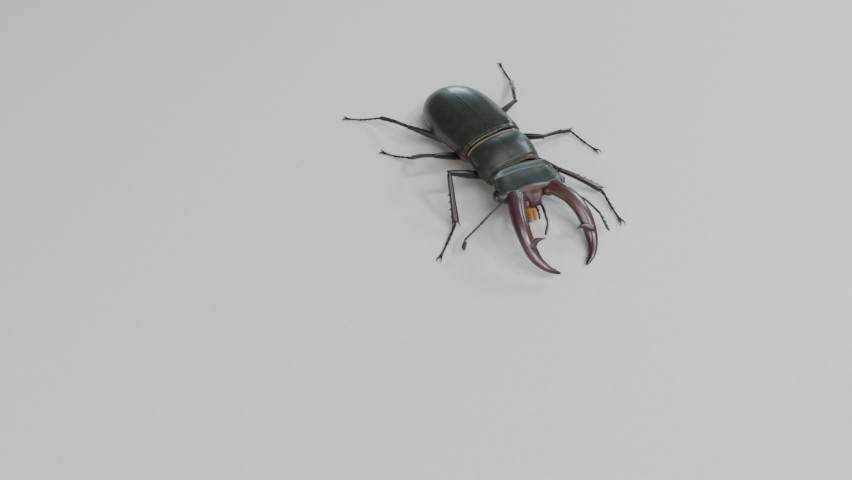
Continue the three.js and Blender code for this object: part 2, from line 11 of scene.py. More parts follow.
import bmesh
import bpy
import numpy as np
from mathutils import Matrix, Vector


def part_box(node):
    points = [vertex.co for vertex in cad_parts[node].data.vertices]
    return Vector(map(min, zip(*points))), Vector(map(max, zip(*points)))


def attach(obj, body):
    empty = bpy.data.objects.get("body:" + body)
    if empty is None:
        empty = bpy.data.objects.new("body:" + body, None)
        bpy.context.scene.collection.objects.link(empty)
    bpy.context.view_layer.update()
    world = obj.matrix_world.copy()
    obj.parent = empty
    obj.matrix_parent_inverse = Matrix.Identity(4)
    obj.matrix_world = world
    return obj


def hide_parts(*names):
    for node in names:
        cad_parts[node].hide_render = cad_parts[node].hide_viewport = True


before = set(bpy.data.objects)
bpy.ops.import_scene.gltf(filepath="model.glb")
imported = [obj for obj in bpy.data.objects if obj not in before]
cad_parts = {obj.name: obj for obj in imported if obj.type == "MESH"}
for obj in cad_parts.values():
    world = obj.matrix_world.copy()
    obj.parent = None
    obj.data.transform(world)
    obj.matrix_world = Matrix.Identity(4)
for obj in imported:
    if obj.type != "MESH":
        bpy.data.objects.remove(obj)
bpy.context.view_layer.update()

# ---- Driving dimensions, the same as the solids' ----
MM = 0.001
UP = np.array([0.0, 0.0, 1.0])
SIDES = {"left": 1, "right": -1}
ELYTRA = Sizes(length=30.6, half_width=9.75, base=0.5, thickness=0.4)
ABDOMEN = Sizes(start=9.2, end=29.9, bottom=2.3)
PROTHORAX = Sizes(rear=-0.4, front=-9.8)
HEAD = Sizes(rear=-9.3, front=-18.1, offset=0.45)
NECK_PIVOT = (0, -10, 7.2)
WAIST_PIVOT = (0, -0.5, 6.7)
EYE = Sizes(x=8.9, y=-16.3, z=7.4, radius=1.5, stretch=(0.85, 1.05))
STANCE = Sizes(pitch=-4, lift=0.3)

# Root, knee, ankle and toe of each leg.
LEGS = {
    "fore_right": [(-6.3, -4.6, 4.8), (-15, -2, 9), (-19.2, -11.6, 1.7), (-27.1, -17.7, 0.42)],
    "mid_right": [(-6.6, 5.0, 4.0), (-15.1, 5.5, 8.9), (-17.9, 14.1, 2.6), (-22.8, 22.4, 0.42)],
    "hind_right": [(-6.8, 12.8, 3.4), (-13.8, 22.4, 5.4), (-17.7, 33.7, 2.6), (-25.6, 41.8, 0.42)],
    "fore_left": [(6.3, -4.6, 4.8), (10.2, -13.3, 5.4), (17.4, -22.6, 1.6), (15.6, -32.3, 0.42)],
    "mid_left": [(6.6, 5.0, 4.0), (14.4, -1.3, 5.0), (24.2, -0.6, 1.5), (26.0, -9.8, 0.42)],
    "hind_left": [(6.8, 12.8, 3.4), (17.4, 16.2, 3.9), (22.8, 26.2, 1.6), (25.6, 36.3, 0.42)],
}
# Radii of each leg's parts, and the places of the teeth along its shin.
LEG_SIZES = {
    "fore": Sizes(femur=1.12, tibia=0.62, ankle=0.95, tarsus=0.46, teeth=(0.42, 0.56, 0.7, 0.84)),
    "mid": Sizes(femur=1.02, tibia=0.46, ankle=0.66, tarsus=0.42, teeth=(0.55,)),
    "hind": Sizes(femur=1.02, tibia=0.46, ankle=0.64, tarsus=0.42, teeth=(0.55,)),
}
COXA = Sizes(
    inner_x=2.2, inner_drop=1.2, overlap=0.55, outer_drop=0.4, radius=1.72, taper=0.55,
)
SHIN_BOW = 0.35
SHIN_TOOTH = Sizes(reach=0.4, lean=0.75, radius=0.42)
SPUR = Sizes(root_at=0.95, length=1.3, reach=0.2, lowest=0.3, radius=0.26)
# Places along the foot, and the share of its drop that is left where it comes near the floor.
TARSUS_JOINTS = [0, 0.17, 0.31, 0.44, 0.56, 1]
TARSUS_LANDING = Sizes(at=0.55, height=0.22)
# A claw's two reaches are straight ahead of the toe and along the claw's own spread.
CLAW = Sizes(
    spread=48, overlap=0.3, middle=(0.4, 0.62), rise=0.22, tip=(1.1, 0.78), tip_height=0.05,
    root_radius=0.25, tip_radius=0.02,
)

# Root, elbow, wrist and tip of each antenna.
ANTENNAE = {
    "right": [(-9.0, -16.6, 7.3), (-15.8, -17.8, 5.0), (-20.7, -18.6, 3.4), (-22.2, -19.8, 2.9)],
    "left": [(7.8, -17.9, 4.2), (10.9, -24.6, 3.5), (11.0, -29.6, 3.5), (9.6, -33.9, 3.3)],
}
# Places along the club and lengths of its four leaves.
CLUB_LEAVES = [(0.2, 1.05), (0.47, 1.2), (0.73, 1.25), (0.97, 1.2)]
# Root to tip of the palps and of the tongue's two lobes.
PALPS = {
    "maxillary_palp_left": [
        (0.5, -18.5, 4.8), (0.2, -21.2, 4.4), (-0.8, -23.7, 4.5), (-1.4, -25.4, 3.7),
        (-3.3, -27.3, 2.2),
    ],
    "maxillary_palp_right": [
        (-3.2, -18.0, 5.8), (-4.5, -20.5, 5.4), (-5.4, -21.7, 4.8), (-5.6, -24.1, 3.0),
    ],
    "labial_palp_left": [(-0.9, -18.5, 4.1), (-1.1, -21.0, 3.9), (-1.8, -22.9, 2.7)],
    "labial_palp_right": [(-4.1, -18.5, 4.6), (-4.3, -21.0, 4.2), (-4.6, -22.6, 3.2)],
}
TONGUE = {
    "tongue_left": [(-1.9, -18.5, 4.4), (-2.1, -20.6, 4.2), (-2.6, -22.2, 2.5)],
    "tongue_right": [(-3.1, -18.5, 4.6), (-3.3, -20.5, 4.4), (-3.8, -22.1, 2.7)],
}
PALP_RADIUS = {"maxillary": 0.36, "labial": 0.3}
# The left mandible from root to tip, in the head's own frame, and the tip of its large tooth.
MANDIBLE = [
    (4.9, HEAD.front + 0.6, 8.1), (6.1, -20.0, 9.0), (7.7, -23.6, 9.2), (8.5, -27.3, 8.7),
    (8.6, -30.7, 7.6), (8.3, -33.3, 6.5), (7.5, -35.6, 5.8), (5.9, -37.9, 5.3), (3.7, -39.5, 4.8),
]
MANDIBLE_TOOTH = {"place": 0.56, "tip": (4.3, -31.6, 8.6), "radius": 1.45, "power": 1.25}
# Place along the mandible, length and radius of each small tooth.
DENTICLES = [
    (0.64, 1.5, 0.5), (0.7, 1.5, 0.5), (0.76, 1.35, 0.45), (0.82, 1.15, 0.4), (0.93, 0.95, 0.36),
]
CLYPEUS = [(-0.3, HEAD.front, 8.5), (-0.4, -20.0, 7.7), (-0.5, -21.4, 6.5)]
SCUTELLUM = Sizes(root=(0, 0.2, 11.0), tip=(0, 3.6, 11.7))
# Places along Y of the seams between the belly's rings.
STERNITES = [12.9, 16.4, 19.6, 22.6, 25.6, 28.2]

# ---- Hair, light and view ----
# A hair has three sides, bends at its waist and takes one small patch of its skin's unwrapping.
HAIR = Sizes(sides=3, waist=0.55, waist_width=0.7, patch=0.003)
TONGUE_BRISTLES = 1300
BREAST_HAIRS = 3600
COAT_ROUGHNESS = 0.16
CUTICLE_IOR = 1.5
CUTICLE_GRAIN = 0.1
FLOOR_HALF = 3.0
# Place in metres, size, watts and colour of each light.
LIGHTS = {
    "rear_box": ((0.46, 0.88, 0.1), (0.24, 0.12), 1.8, (0.7, 0.9, 1.0)),
    "edge_box": ((0.84, 0.51, 0.19), (0.14, 0.1), 1.4, (0.72, 0.9, 1.0)),
    "side_box": ((0.78, 0.08, 0.5), (0.28, 0.18), 4.2, (0.8, 0.92, 1.0)),
    "top_box": ((0.08, -0.48, 0.82), (0.6, 0.6), 8, (1.0, 0.98, 0.95)),
    "tip_box": ((0.5, -0.44, 0.74), (0.12, 0.12), 3.5, (0.75, 0.9, 1.0)),
    "fill_box": ((-0.8, -0.5, 0.45), (0.9, 0.7), 4, (1.0, 0.93, 0.84)),
}
WORLD = Sizes(colour=(0.8, 0.86, 0.92, 1), strength=0.17)
CAMERA = Sizes(
    place=(-62.38, -97.12, 120.21), angles=(37.3455, 5.4415, -29.0486), lens=25.61, sensor=36,
    clip_start=0.005,
)

random = np.random.default_rng(11)


# ---- Small helpers ----
def unit(vectors):
    return vectors / np.maximum(np.linalg.norm(vectors, axis=-1, keepdims=True), 1e-9)


def around(count):
    """Even angles round one turn."""
    return np.linspace(0, 2 * pi, count, endpoint=False)


def bump(distance, width):
    """1 at no distance, falling smoothly to 0 past the width."""
    return np.exp(-((distance / width) ** 2))


def ramp(low, high, value):
    """0 below low, 1 above high and smooth between them. low may be the larger one."""
    t = np.clip((value - low) / (high - low), 0, 1)
    return t * t * (3 - 2 * t)


def track(*pairs):
    """A smooth curve through (place, value) pairs, flat past its ends."""
    place, value = np.array(pairs, float).T
    index = np.arange(len(place))
    before, after = np.maximum(index - 1, 0), np.minimum(index + 1, len(place) - 1)
    slope = (value[after] - value[before]) / (place[after] - place[before])

    def at(t):
        t = np.clip(t, place[0], place[-1])
        i = np.clip(np.searchsorted(place, t, side="right") - 1, 0, len(place) - 2)
        span = place[i + 1] - place[i]
        s = (t - place[i]) / span
        rise = 3 * s**2 - 2 * s**3
        lead = (s**3 - 2 * s**2 + s) * span * slope[i]
        lag = (s**3 - s**2) * span * slope[i + 1]
        return (1 - rise) * value[i] + rise * value[i + 1] + lead + lag

    return at


def turn(axis, degrees):
    return np.array(Matrix.Rotation(radians(degrees), 4, axis))


def shift(x, y, z):
    return np.array(Matrix.Translation((x, y, z)))


def bend(pivot, pitch, roll, yaw):
    back = shift(*(-value for value in pivot))
    return shift(*pivot) @ turn("Y", roll) @ turn("X", pitch) @ turn("Z", yaw) @ back


def turned_by(vectors, matrix):
    return np.asarray(vectors, float) @ matrix[:3, :3].T


def placed(points, matrix):
    return turned_by(points, matrix) + matrix[:3, 3]


HIND = shift(0, 0, STANCE.lift) @ turn("X", STANCE.pitch)
THORAX = HIND @ bend(WAIST_PIVOT, pitch=3.7, roll=0, yaw=-1.5)
SKULL = THORAX @ bend(NECK_PIVOT, pitch=8.4, roll=9.9, yaw=-2.8) @ shift(HEAD.offset, 0, 0)
MIRROR = np.diag([-1.0, 1, 1, 1])

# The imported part's origin is the middle of its footprint. The abdomen's box says where that is.
abdomen_low, abdomen_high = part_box("abdomen")
abdomen_front = placed([(0, ABDOMEN.start, ABDOMEN.bottom)], HIND)[0]
ORIGIN_SHIFT = np.array(
    [(abdomen_low.x + abdomen_high.x) / 2 / MM, abdomen_low.y / MM - abdomen_front[1], 0]
)


# ---- Shapes: a shape is its points and its faces ----
def merged(shapes):
    points, faces, start = [], [], 0
    for some_points, some_faces in shapes:
        points.append(some_points)
        faces += [[start + i for i in face] for face in some_faces]
        start += len(some_points)
    return np.concatenate(points), faces


def tube(rings, thin=False):
    """A closed body through rings. A thin one is capped across, others to a middle point."""
    rows, columns, _ = rings.shape
    i, j = np.arange(rows - 1)[:, None] * columns, np.arange(columns)[None, :]
    k = (j + 1) % columns
    faces = np.stack([i + j, i + k, i + columns + k, i + columns + j], -1).reshape(-1, 4).tolist()
    points = rings.reshape(-1, 3)
    last = (rows - 1) * columns
    if thin:
        for start in (0, last):
            faces += [
                [start + a, start + a + 1, start + columns - 2 - a, start + columns - 1 - a]
                for a in range(columns // 2 - 1)
            ]
        return points, faces
    middles = np.stack([rings[0].mean(0), rings[-1].mean(0)])
    for start, middle in ((0, len(points)), (last, len(points) + 1)):
        faces += [[middle, start + a, start + (a + 1) % columns] for a in range(columns)]
    return np.concatenate([points, middles]), faces


def squarish(angle, power):
    """A unit section's two coordinates: a circle for power 2 and squarer for more."""
    c, s = np.cos(angle), np.sin(angle)
    reach = (np.abs(c) ** power + np.abs(s) ** power) ** (-1 / power)
    return c * reach, s * reach


def lifted(rings, height):
    """Rings moved out along the surface's normal by height."""
    along = np.gradient(rings, axis=0)
    across = np.roll(rings, -1, 1) - np.roll(rings, 1, 1)
    normal = unit(np.cross(across, along))
    outward = rings - rings.mean(1, keepdims=True)
    if (normal * outward).sum() < 0:
        normal = -normal
    return rings + normal * height[..., None]


def curve_through(points):
    """A centripetal Catmull-Rom curve, as a function of t from 0 to 1."""
    through = np.array(points, float)
    ends = (2 * through[:1] - through[1:2], through, 2 * through[-1:] - through[-2:-1])
    knots = np.concatenate(ends)
    root_step = np.linalg.norm(np.diff(knots, axis=0), axis=1) ** 0.5

    def at(t):
        s = np.clip(np.atleast_1d(t), 0, 1) * (len(through) - 1)
        i = np.minimum(s.astype(int), len(through) - 2)
        w = (s - i)[:, None]
        p0, p1, p2, p3 = (knots[i + k] for k in range(4))
        d0, d1, d2 = (root_step[i + k][:, None] for k in range(3))
        leave = ((p1 - p0) / d0 - (p2 - p0) / (d0 + d1) + (p2 - p1) / d1) * d1
        reach = ((p2 - p1) / d1 - (p3 - p1) / (d1 + d2) + (p3 - p2) / d2) * d1
        square = -3 * p1 + 3 * p2 - 2 * leave - reach
        cube = 2 * p1 - 2 * p2 + leave + reach
        return p1 + leave * w + square * w**2 + cube * w**3

    return at


def rod_rings(points, steps, sides, size, power=2.0):
    """Rings along a curve. size(t) is a radius or a half width and half height."""
    curve = curve_through(points)
    t = np.linspace(0, 1, steps + 1)
    tangent = unit(curve(t + 1e-3) - curve(t - 1e-3))
    side = unit(np.cross(tangent, UP))
    over = np.cross(side, tangent)
    x, z = (value[None, :, None] for value in squarish(around(sides), power))
    sizes = size(t)
    sizes = sizes if isinstance(sizes, tuple) else (sizes, sizes)
    wide, high = (np.broadcast_to(value, t.shape)[:, None, None] for value in sizes)
    return curve(t)[:, None] + side[:, None] * x * wide + over[:, None] * z * high


def rod(points, steps, sides, size, power=2.0):
    return tube(rod_rings(points, steps, sides, size, power))


def domed(t, start, end):
    """Rounds a rod's ends: 0 at t 0 and 1, and 1 between the two lengths."""
    near = np.clip(t / start, 0, 1)
    far = np.clip((1 - t) / end, 0, 1)
    return np.sqrt(np.clip(1 - (1 - near) ** 2, 0, 1) * np.clip(1 - (1 - far) ** 2, 0, 1)) + 1e-3


def thorn(root, tip, radius, bow=0.0, sides=10, steps=8, blunt=0.04, power=0.9):
    """A pointed spine whose middle is moved by bow. blunt is the part of its radius at the tip."""
    def size(t):
        return radius * (blunt + (1 - blunt) * (1 - t) ** power)

    return rod([root, (root + tip) / 2 + bow, tip], steps, sides, size)


def ball(steps, sides, hole=0.02):
    """Rings of a unit sphere with its poles on Y. hole is the angle left open at each pole."""
    polar, angle = np.linspace(hole, pi - hole, steps)[:, None], around(sides)
    flat = np.sin(polar)
    grid = np.broadcast_arrays(flat * np.cos(angle), np.cos(polar), flat * np.sin(angle))
    return np.stack(grid, -1)


def ellipsoid(centre, radii):
    return tube(centre + ball(14, 20) * radii)


def moved(shape, matrix):
    return placed(shape[0], matrix), shape[1]


# ---- Skins: a skin is a material and a slot name, which nothing here reads ----
def plug(tree, made, **inputs):
    """Links or sets a node's inputs. An underscore stands for a space in an input's name."""
    for key, value in inputs.items():
        socket = made.inputs[key.replace("_", " ")]
        if isinstance(value, bpy.types.NodeSocket):
            tree.links.new(value, socket)
        else:
            socket.default_value = value


def node(tree, kind, output, **inputs):
    """A new shader node's named output."""
    made = tree.nodes.new("ShaderNode" + kind)
    plug(tree, made, **inputs)
    return made.outputs[output]


def new_material(name):
    """A material, its tree, its shader and the place in the object that its patterns follow."""
    material = bpy.data.materials.new(name)
    material.use_nodes = True
    tree = material.node_tree
    return material, tree, tree.nodes["Principled BSDF"], node(tree, "TexCoord", "Object")


def mixed(tree, factor, first, second):
    """One colour or the other, by a factor. A colour is a socket or three numbers."""
    made = tree.nodes.new("ShaderNodeMix")
    made.data_type = "RGBA"
    for index, value in ((0, factor), (6, first), (7, second)):
        if isinstance(value, bpy.types.NodeSocket):
            tree.links.new(value, made.inputs[index])
        else:
            made.inputs[index].default_value = (*value, 1)
    return made.outputs[2]


def noise(tree, place, scale, detail, roughness=0.5):
    """A cloud pattern from 0 to 1, with scale cells to a metre."""
    inputs = {"Vector": place, "Scale": scale, "Detail": detail, "Roughness": roughness}
    return node(tree, "TexNoise", "Fac", **inputs)


def mapped(tree, value, low, high, to_low=0.0, to_high=1.0):
    limits = {"From_Min": low, "From_Max": high, "To_Min": to_low, "To_Max": to_high}
    return node(tree, "MapRange", "Result", Value=value, **limits)


def cuticle(name, dark, light, tinted, roughness, coat, pits, wrinkle, specular=0.5):
    """Insect shell. tinted is the colour where a mesh's tint layer is 1.

    pits is the size and depth of its fine dents, and wrinkle is how deep its waves are.
    """
    pit_size, pit_depth = pits
    material, tree, shader, place = new_material(name)
    cloud = mapped(tree, noise(tree, place, 0.35 / MM, 5.0, 0.6), 0.35, 0.68)
    speck = noise(tree, place, 3.1 / MM, 4.0, 0.65)
    cells = {"Vector": place, "Scale": 1 / (pit_size * MM), "Randomness": 0.9}
    pit = mapped(tree, node(tree, "TexVoronoi", "Distance", **cells), 0.12, 0.5)
    tint = node(tree, "Attribute", "Fac")
    tint.node.attribute_name = "tint"
    base = mixed(tree, cloud, dark, light)
    base = mixed(tree, mapped(tree, speck, 0.45, 0.75, 0.0, 0.35), base, light)
    base = mixed(tree, tint, base, tinted)
    # The middle of each dent is also darkened in colour: painted shade in the dents.
    base = mixed(tree, mapped(tree, pit, 0.0, 1.0, 0.45, 0.0), base, (0.004, 0.004, 0.004))
    rough = mapped(tree, speck, 0.3, 0.75, roughness - CUTICLE_GRAIN / 2, roughness + CUTICLE_GRAIN)
    dents = node(tree, "Bump", "Normal", Height=pit, Strength=pit_depth, Distance=0.05 * MM)
    waves = {"Height": noise(tree, place, 1.3 / MM, 6.0, 0.55), "Distance": 0.04 * MM}
    skin = node(tree, "Bump", "Normal", Normal=dents, Strength=wrinkle, **waves)
    plug(
        tree, shader, Base_Color=base, Roughness=rough, IOR=CUTICLE_IOR, Normal=skin,
        Specular_IOR_Level=specular, Coat_Normal=skin, Coat_Weight=coat, Coat_IOR=CUTICLE_IOR,
        Coat_Roughness=COAT_ROUGHNESS,
    )
    return material, name


def hair_skin(name, dark, light):
    material, tree, shader, place = new_material(name)
    shade = mapped(tree, noise(tree, place, 4.5 / MM, 3.0, 0.6), 0.3, 0.7)
    rough = mapped(tree, shade, 0.0, 1.0, 0.55, 0.35)
    colour = mixed(tree, shade, dark, light)
    plug(tree, shader, Base_Color=colour, Roughness=rough, Sheen_Weight=0.3)
    return material, name


WING_CASE = cuticle(
    "wing_case",
    dark=(0.0175, 0.0185, 0.0135), light=(0.027, 0.0285, 0.021), tinted=(0.045, 0.021, 0.013),
    roughness=0.3, coat=0.15, pits=(0.24, 0.05), wrinkle=0.05, specular=0.4,
)
SHELL = cuticle(
    "shell",
    dark=(0.016, 0.019, 0.0155), light=(0.028, 0.033, 0.027), tinted=(0.09, 0.028, 0.02),
    roughness=0.34, coat=0.06, pits=(0.2, 0.12), wrinkle=0.1, specular=0.4,
)
MANDIBLE_RED = cuticle(
    "mandible",
    dark=(0.038, 0.0105, 0.011), light=(0.062, 0.016, 0.0165), tinted=(0.008, 0.008, 0.0095),
    roughness=0.36, coat=0.35, pits=(0.22, 0.02), wrinkle=0.03,
)
FACE_RED, _ = cuticle(
    "clypeus",
    dark=(0.05, 0.017, 0.016), light=(0.085, 0.03, 0.028), tinted=(0.01, 0.01, 0.011),
    roughness=0.5, coat=0.0, pits=(0.2, 0.08), wrinkle=0.1,
)
LEG_BLACK = cuticle(
    "leg",
    dark=(0.008, 0.008, 0.008), light=(0.016, 0.015, 0.014), tinted=(0.05, 0.012, 0.01),
    roughness=0.33, coat=0.2, pits=(0.16, 0.1), wrinkle=0.12, specular=0.4,
)
UNDERSIDE = cuticle(
    "underside",
    dark=(0.012, 0.010, 0.008), light=(0.025, 0.019, 0.013), tinted=(0.005, 0.005, 0.005),
    roughness=0.36, coat=0.45, pits=(0.26, 0.3), wrinkle=0.35,
)
FEELER = cuticle(
    "feeler",
    dark=(0.014, 0.012, 0.01), light=(0.035, 0.028, 0.022), tinted=(0.07, 0.055, 0.045),
    roughness=0.42, coat=0.3, pits=(0.12, 0.2), wrinkle=0.3,
)
EYE_BLACK = cuticle(
    "eye",
    dark=(0.006, 0.005, 0.004), light=(0.012, 0.009, 0.007), tinted=(0.02, 0.012, 0.008),
    roughness=0.12, coat=1.0, pits=(0.07, 0.25), wrinkle=0.05,
)
TONGUE_ORANGE = hair_skin("tongue", dark=(0.5, 0.17, 0.025), light=(0.85, 0.4, 0.08))
GOLD_HAIR = hair_skin("hair", dark=(0.27, 0.15, 0.035), light=(0.62, 0.42, 0.13))


# ---- Pieces ----
def new_object(name, data):
    made = bpy.data.objects.new(name, data)
    bpy.context.scene.collection.objects.link(made)
    return made


def mesh_object(name, points, faces):
    """A mesh whose faces point out."""
    mesh = bpy.data.meshes.new(name)
    mesh.from_pydata(points.tolist(), [], faces)
    work = bmesh.new()
    work.from_mesh(mesh)
    bmesh.ops.recalc_face_normals(work, faces=work.faces)
    work.to_mesh(mesh)
    work.free()
    return new_object(name, mesh)


def make(name, shape, skin, replaces=(), tint=0.0):
    """A shape in the floor frame as a piece. tint is from 0 to 1, for all points or for each."""
    points, faces = shape
    material, slot = skin
    piece = mesh_object(name, (points + ORIGIN_SHIFT) * MM, faces)
    mesh = piece.data
    tints = np.full(len(points), tint).clip(0, 1).astype(np.float32)
    mesh.attributes.new("tint", "FLOAT", "POINT").data.foreach_set("value", tints)
    mesh.materials.append(material)
    mesh.shade_smooth()
    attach(piece, "root")
    if replaces:
        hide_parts(*replaces)
    return piece


def fused(shapes, voxel, smoothing):
    """Several closed shapes as one skin with soft joins."""
    work = mesh_object("fusing", *merged(shapes))
    remesh = work.modifiers.new("fuse", "REMESH")
    remesh.mode = "VOXEL"
    remesh.voxel_size = voxel
    whole = work.evaluated_get(bpy.context.evaluated_depsgraph_get()).to_mesh()
    skin = np.empty((len(whole.vertices), 3), np.float32)
    whole.vertices.foreach_get("co", skin.ravel())
    quads = [list(face.vertices) for face in whole.polygons]
    edges = np.empty((len(whole.edges), 2), np.int32)
    whole.edges.foreach_get("vertices", edges.ravel())
    bpy.data.objects.remove(work)
    return relaxed(skin.astype(float), edges, smoothing), quads


def relaxed(points, edges, rounds):
    """Evens out a mesh. Every second pass pushes back out, so that it keeps its size."""
    ease_in, push_out = 0.6, -0.56
    first, second = edges.T
    joins = np.bincount(edges.ravel(), minlength=len(points))[:, None]
    for step in (ease_in, push_out) * rounds:
        total = np.zeros_like(points)
        for axis in range(3):
            total[:, axis] += np.bincount(first, points[second, axis], len(points))
            total[:, axis] += np.bincount(second, points[first, axis], len(points))
        points = points + step * (total / joins - points)
    return points


def hairs(name, roots, ways, lengths, width, droop, unwrap, skin):
    """Thin closed hairs. ways are their directions, and droop is how far their tips hang.

    unwrap is each root's place on the skin's own unwrapping, where the hair is one small patch of
    the map OFBake.
    """
    sides = HAIR.sides
    ways = unit(ways)
    side = unit(np.cross(ways, UP + 1e-3))
    over = np.cross(side, ways)
    fall = -droop * UP
    rings = []
    for part, thick in ((0.0, 1.0), (HAIR.waist, HAIR.waist_width)):
        centre = roots + ways * (lengths * part)[:, None] + fall * (lengths * part**2)[:, None]
        for angle in around(sides):
            rings.append(centre + width * thick * (side * cos(angle) + over * sin(angle)))
    rings.append(roots + ways * lengths[:, None] + fall * lengths[:, None])
    points = np.stack(rings, 1).reshape(-1, 3)
    faces, corners = [], []
    for k in range(sides):
        n = (k + 1) % sides
        u, v = k / sides, (k + 1) / sides
        faces += [[k, n, sides + n, sides + k], [sides + k, sides + n, 2 * sides]]
        corners += [(u, 0.1), (v, 0.1), (v, 0.6), (u, 0.6), (u, 0.6), (v, 0.6), ((u + v) / 2, 1)]
    faces.append([2, 1, 0])
    corners += [(0, 0), (1, 0), (0.5, 0.1)]
    per_hair = 2 * sides + 1
    all_faces = [[per_hair * h + i for i in face] for h in range(len(roots)) for face in faces]
    piece = make(name, (points, all_faces), skin)
    uv = np.stack(unwrap, 1)[:, None] * (1 - HAIR.patch) + HAIR.patch * np.array(corners)
    layer = piece.data.uv_layers.new(name="OFBake")
    layer.data.foreach_set("uv", np.clip(uv, 0, 1).astype(np.float32).ravel())
    return piece


# ---- Trunk forms, the same as the solids' ----
def round_ends(count):
    """Stations from 0 to 1 that are closer together near both ends."""
    return 0.5 - 0.5 * np.cos(pi * np.linspace(0, 1, count))


def section(form, along, angle):
    """Points of a trunk form. Angle 0 is the left side and a quarter turn is the top."""
    upward = np.sin(angle)
    x, z = squarish(angle, np.where(upward >= 0, form.top_power, form.bottom_power))
    edge = form.edge(along)
    rise = np.where(upward >= 0, form.top(along) - edge, edge - form.bottom(along))
    y = form.start + (form.end - form.start) * along
    if hasattr(form, "bow"):
        y = y + form.bow(along) * np.maximum(0, upward) * (1 - x**2)
    return np.stack(np.broadcast_arrays(x * form.half_width(along), y, edge + z * rise), -1)


def elytra_width(t):
    front = track((0, 0.86), (0.03, 0.905), (0.14, 0.945), (0.42, 1))(t)
    rear = np.sqrt(np.clip(1 - np.clip((t - 0.42) / 0.58, 0, 1) ** 2.6, 0, 1))
    return ELYTRA.half_width * np.where(t < 0.42, front, np.maximum(0.08, rear))


def elytra_top(t):
    front = track((0, 11.8), (0.04, 12.25), (0.15, 12.65), (0.4, 13))(t)
    rear = 5.4 + 7.6 * np.sqrt(1 - np.clip((t - 0.4) / 0.6, 0, 1) ** 2.4)
    return np.where(t < 0.4, front, rear)


ELYTRA_FORM = Sizes(
    start=ELYTRA.base, end=ELYTRA.base + ELYTRA.length, top_power=2.3, bottom_power=2,
    half_width=elytra_width, top=elytra_top,
    edge=lambda t: 7.7 - 2.5 * t,
    bottom=lambda t: 7.4 - 2.5 * t,
)
ABDOMEN_FORM = Sizes(
    start=ABDOMEN.start, end=ABDOMEN.end, top_power=2.3, bottom_power=2.4,
    half_width=lambda t: 8.75 * np.maximum(0.1, np.sqrt(1 - (0.995 * t) ** 3.2)),
    edge=lambda t: 6.3 - 1.5 * t,
    top=track((0, 11.6), (0.4, 11), (0.75, 8.6), (1, 5)),
    bottom=track((0, ABDOMEN.bottom), (0.5, 2.45), (0.85, 3.4), (1, 4.6)),
)
PTEROTHORAX_FORM = Sizes(
    start=0, end=9.1, top_power=2.3, bottom_power=2.6,
    half_width=track((0, 6.2), (0.25, 7.8), (0.6, 8.6), (1, 8.75)),
    edge=track((0, 6.6), (1, 6.3)),
    top=track((0, 10.3), (0.2, 11.2), (1, 11.6)),
    bottom=track((0, 3.4), (0.3, 2.4), (1, 2.2)),
)
PROTHORAX_FORM = Sizes(
    start=PROTHORAX.rear, end=PROTHORAX.front, top_power=2.35, bottom_power=2.5,
    half_width=track((0, 7.4), (0.04, 7.9), (0.3, 8.2), (0.65, 8.15), (0.93, 7.6), (1, 7)),
    edge=track((0, 8), (0.5, 7.6), (1, 6.8)),
    top=track((0, 11.3), (0.05, 11.8), (0.45, 12.3), (0.9, 10.75), (1, 10.1)),
    bottom=track((0, 4.4), (0.15, 3.2), (0.5, 2.9), (0.85, 3.1), (1, 4)),
)
HEAD_FORM = Sizes(
    start=HEAD.rear, end=HEAD.front, top_power=3.4, bottom_power=2,
    half_width=track(
        (0, 5.6), (0.1, 6.8), (0.22, 8), (0.5, 8.5), (0.75, 9.1), (0.9, 9.5), (1, 8.9),
    ),
    edge=track((0, 7.6), (0.2, 8.3), (1, 8.3)),
    top=track((0, 8.8), (0.12, 9.2), (0.24, 10.5), (0.4, 9.9), (0.8, 9.8), (1, 9.7)),
    bottom=track((0, 4.4), (0.3, 3.5), (0.7, 3.7), (1, 4.8)),
    bow=track((0, 0.9), (0.24, 0.9), (0.6, 0)),
)


def trunk_rings(form, steps, sides):
    along, angle = round_ends(steps)[:, None], around(sides)
    return section(form, along, angle), along, angle


def with_end(rings, turns, first=False):
    """Adds rings past one end. Each turn is how far a ring shrinks and moves along Y."""
    ring = rings[0] if first else rings[-1]
    middle = ring.mean(0)
    extra = np.stack([middle + (ring - middle) * shrink + (0, move, 0) for shrink, move in turns])
    return np.concatenate([extra[::-1], rings]) if first else np.concatenate([rings, extra])


# ---- Wing cases and scutellum ----
scutellum_width = track((0, 2.0), (0.5, 1.5), (0.85, 0.75), (1, 0.3))


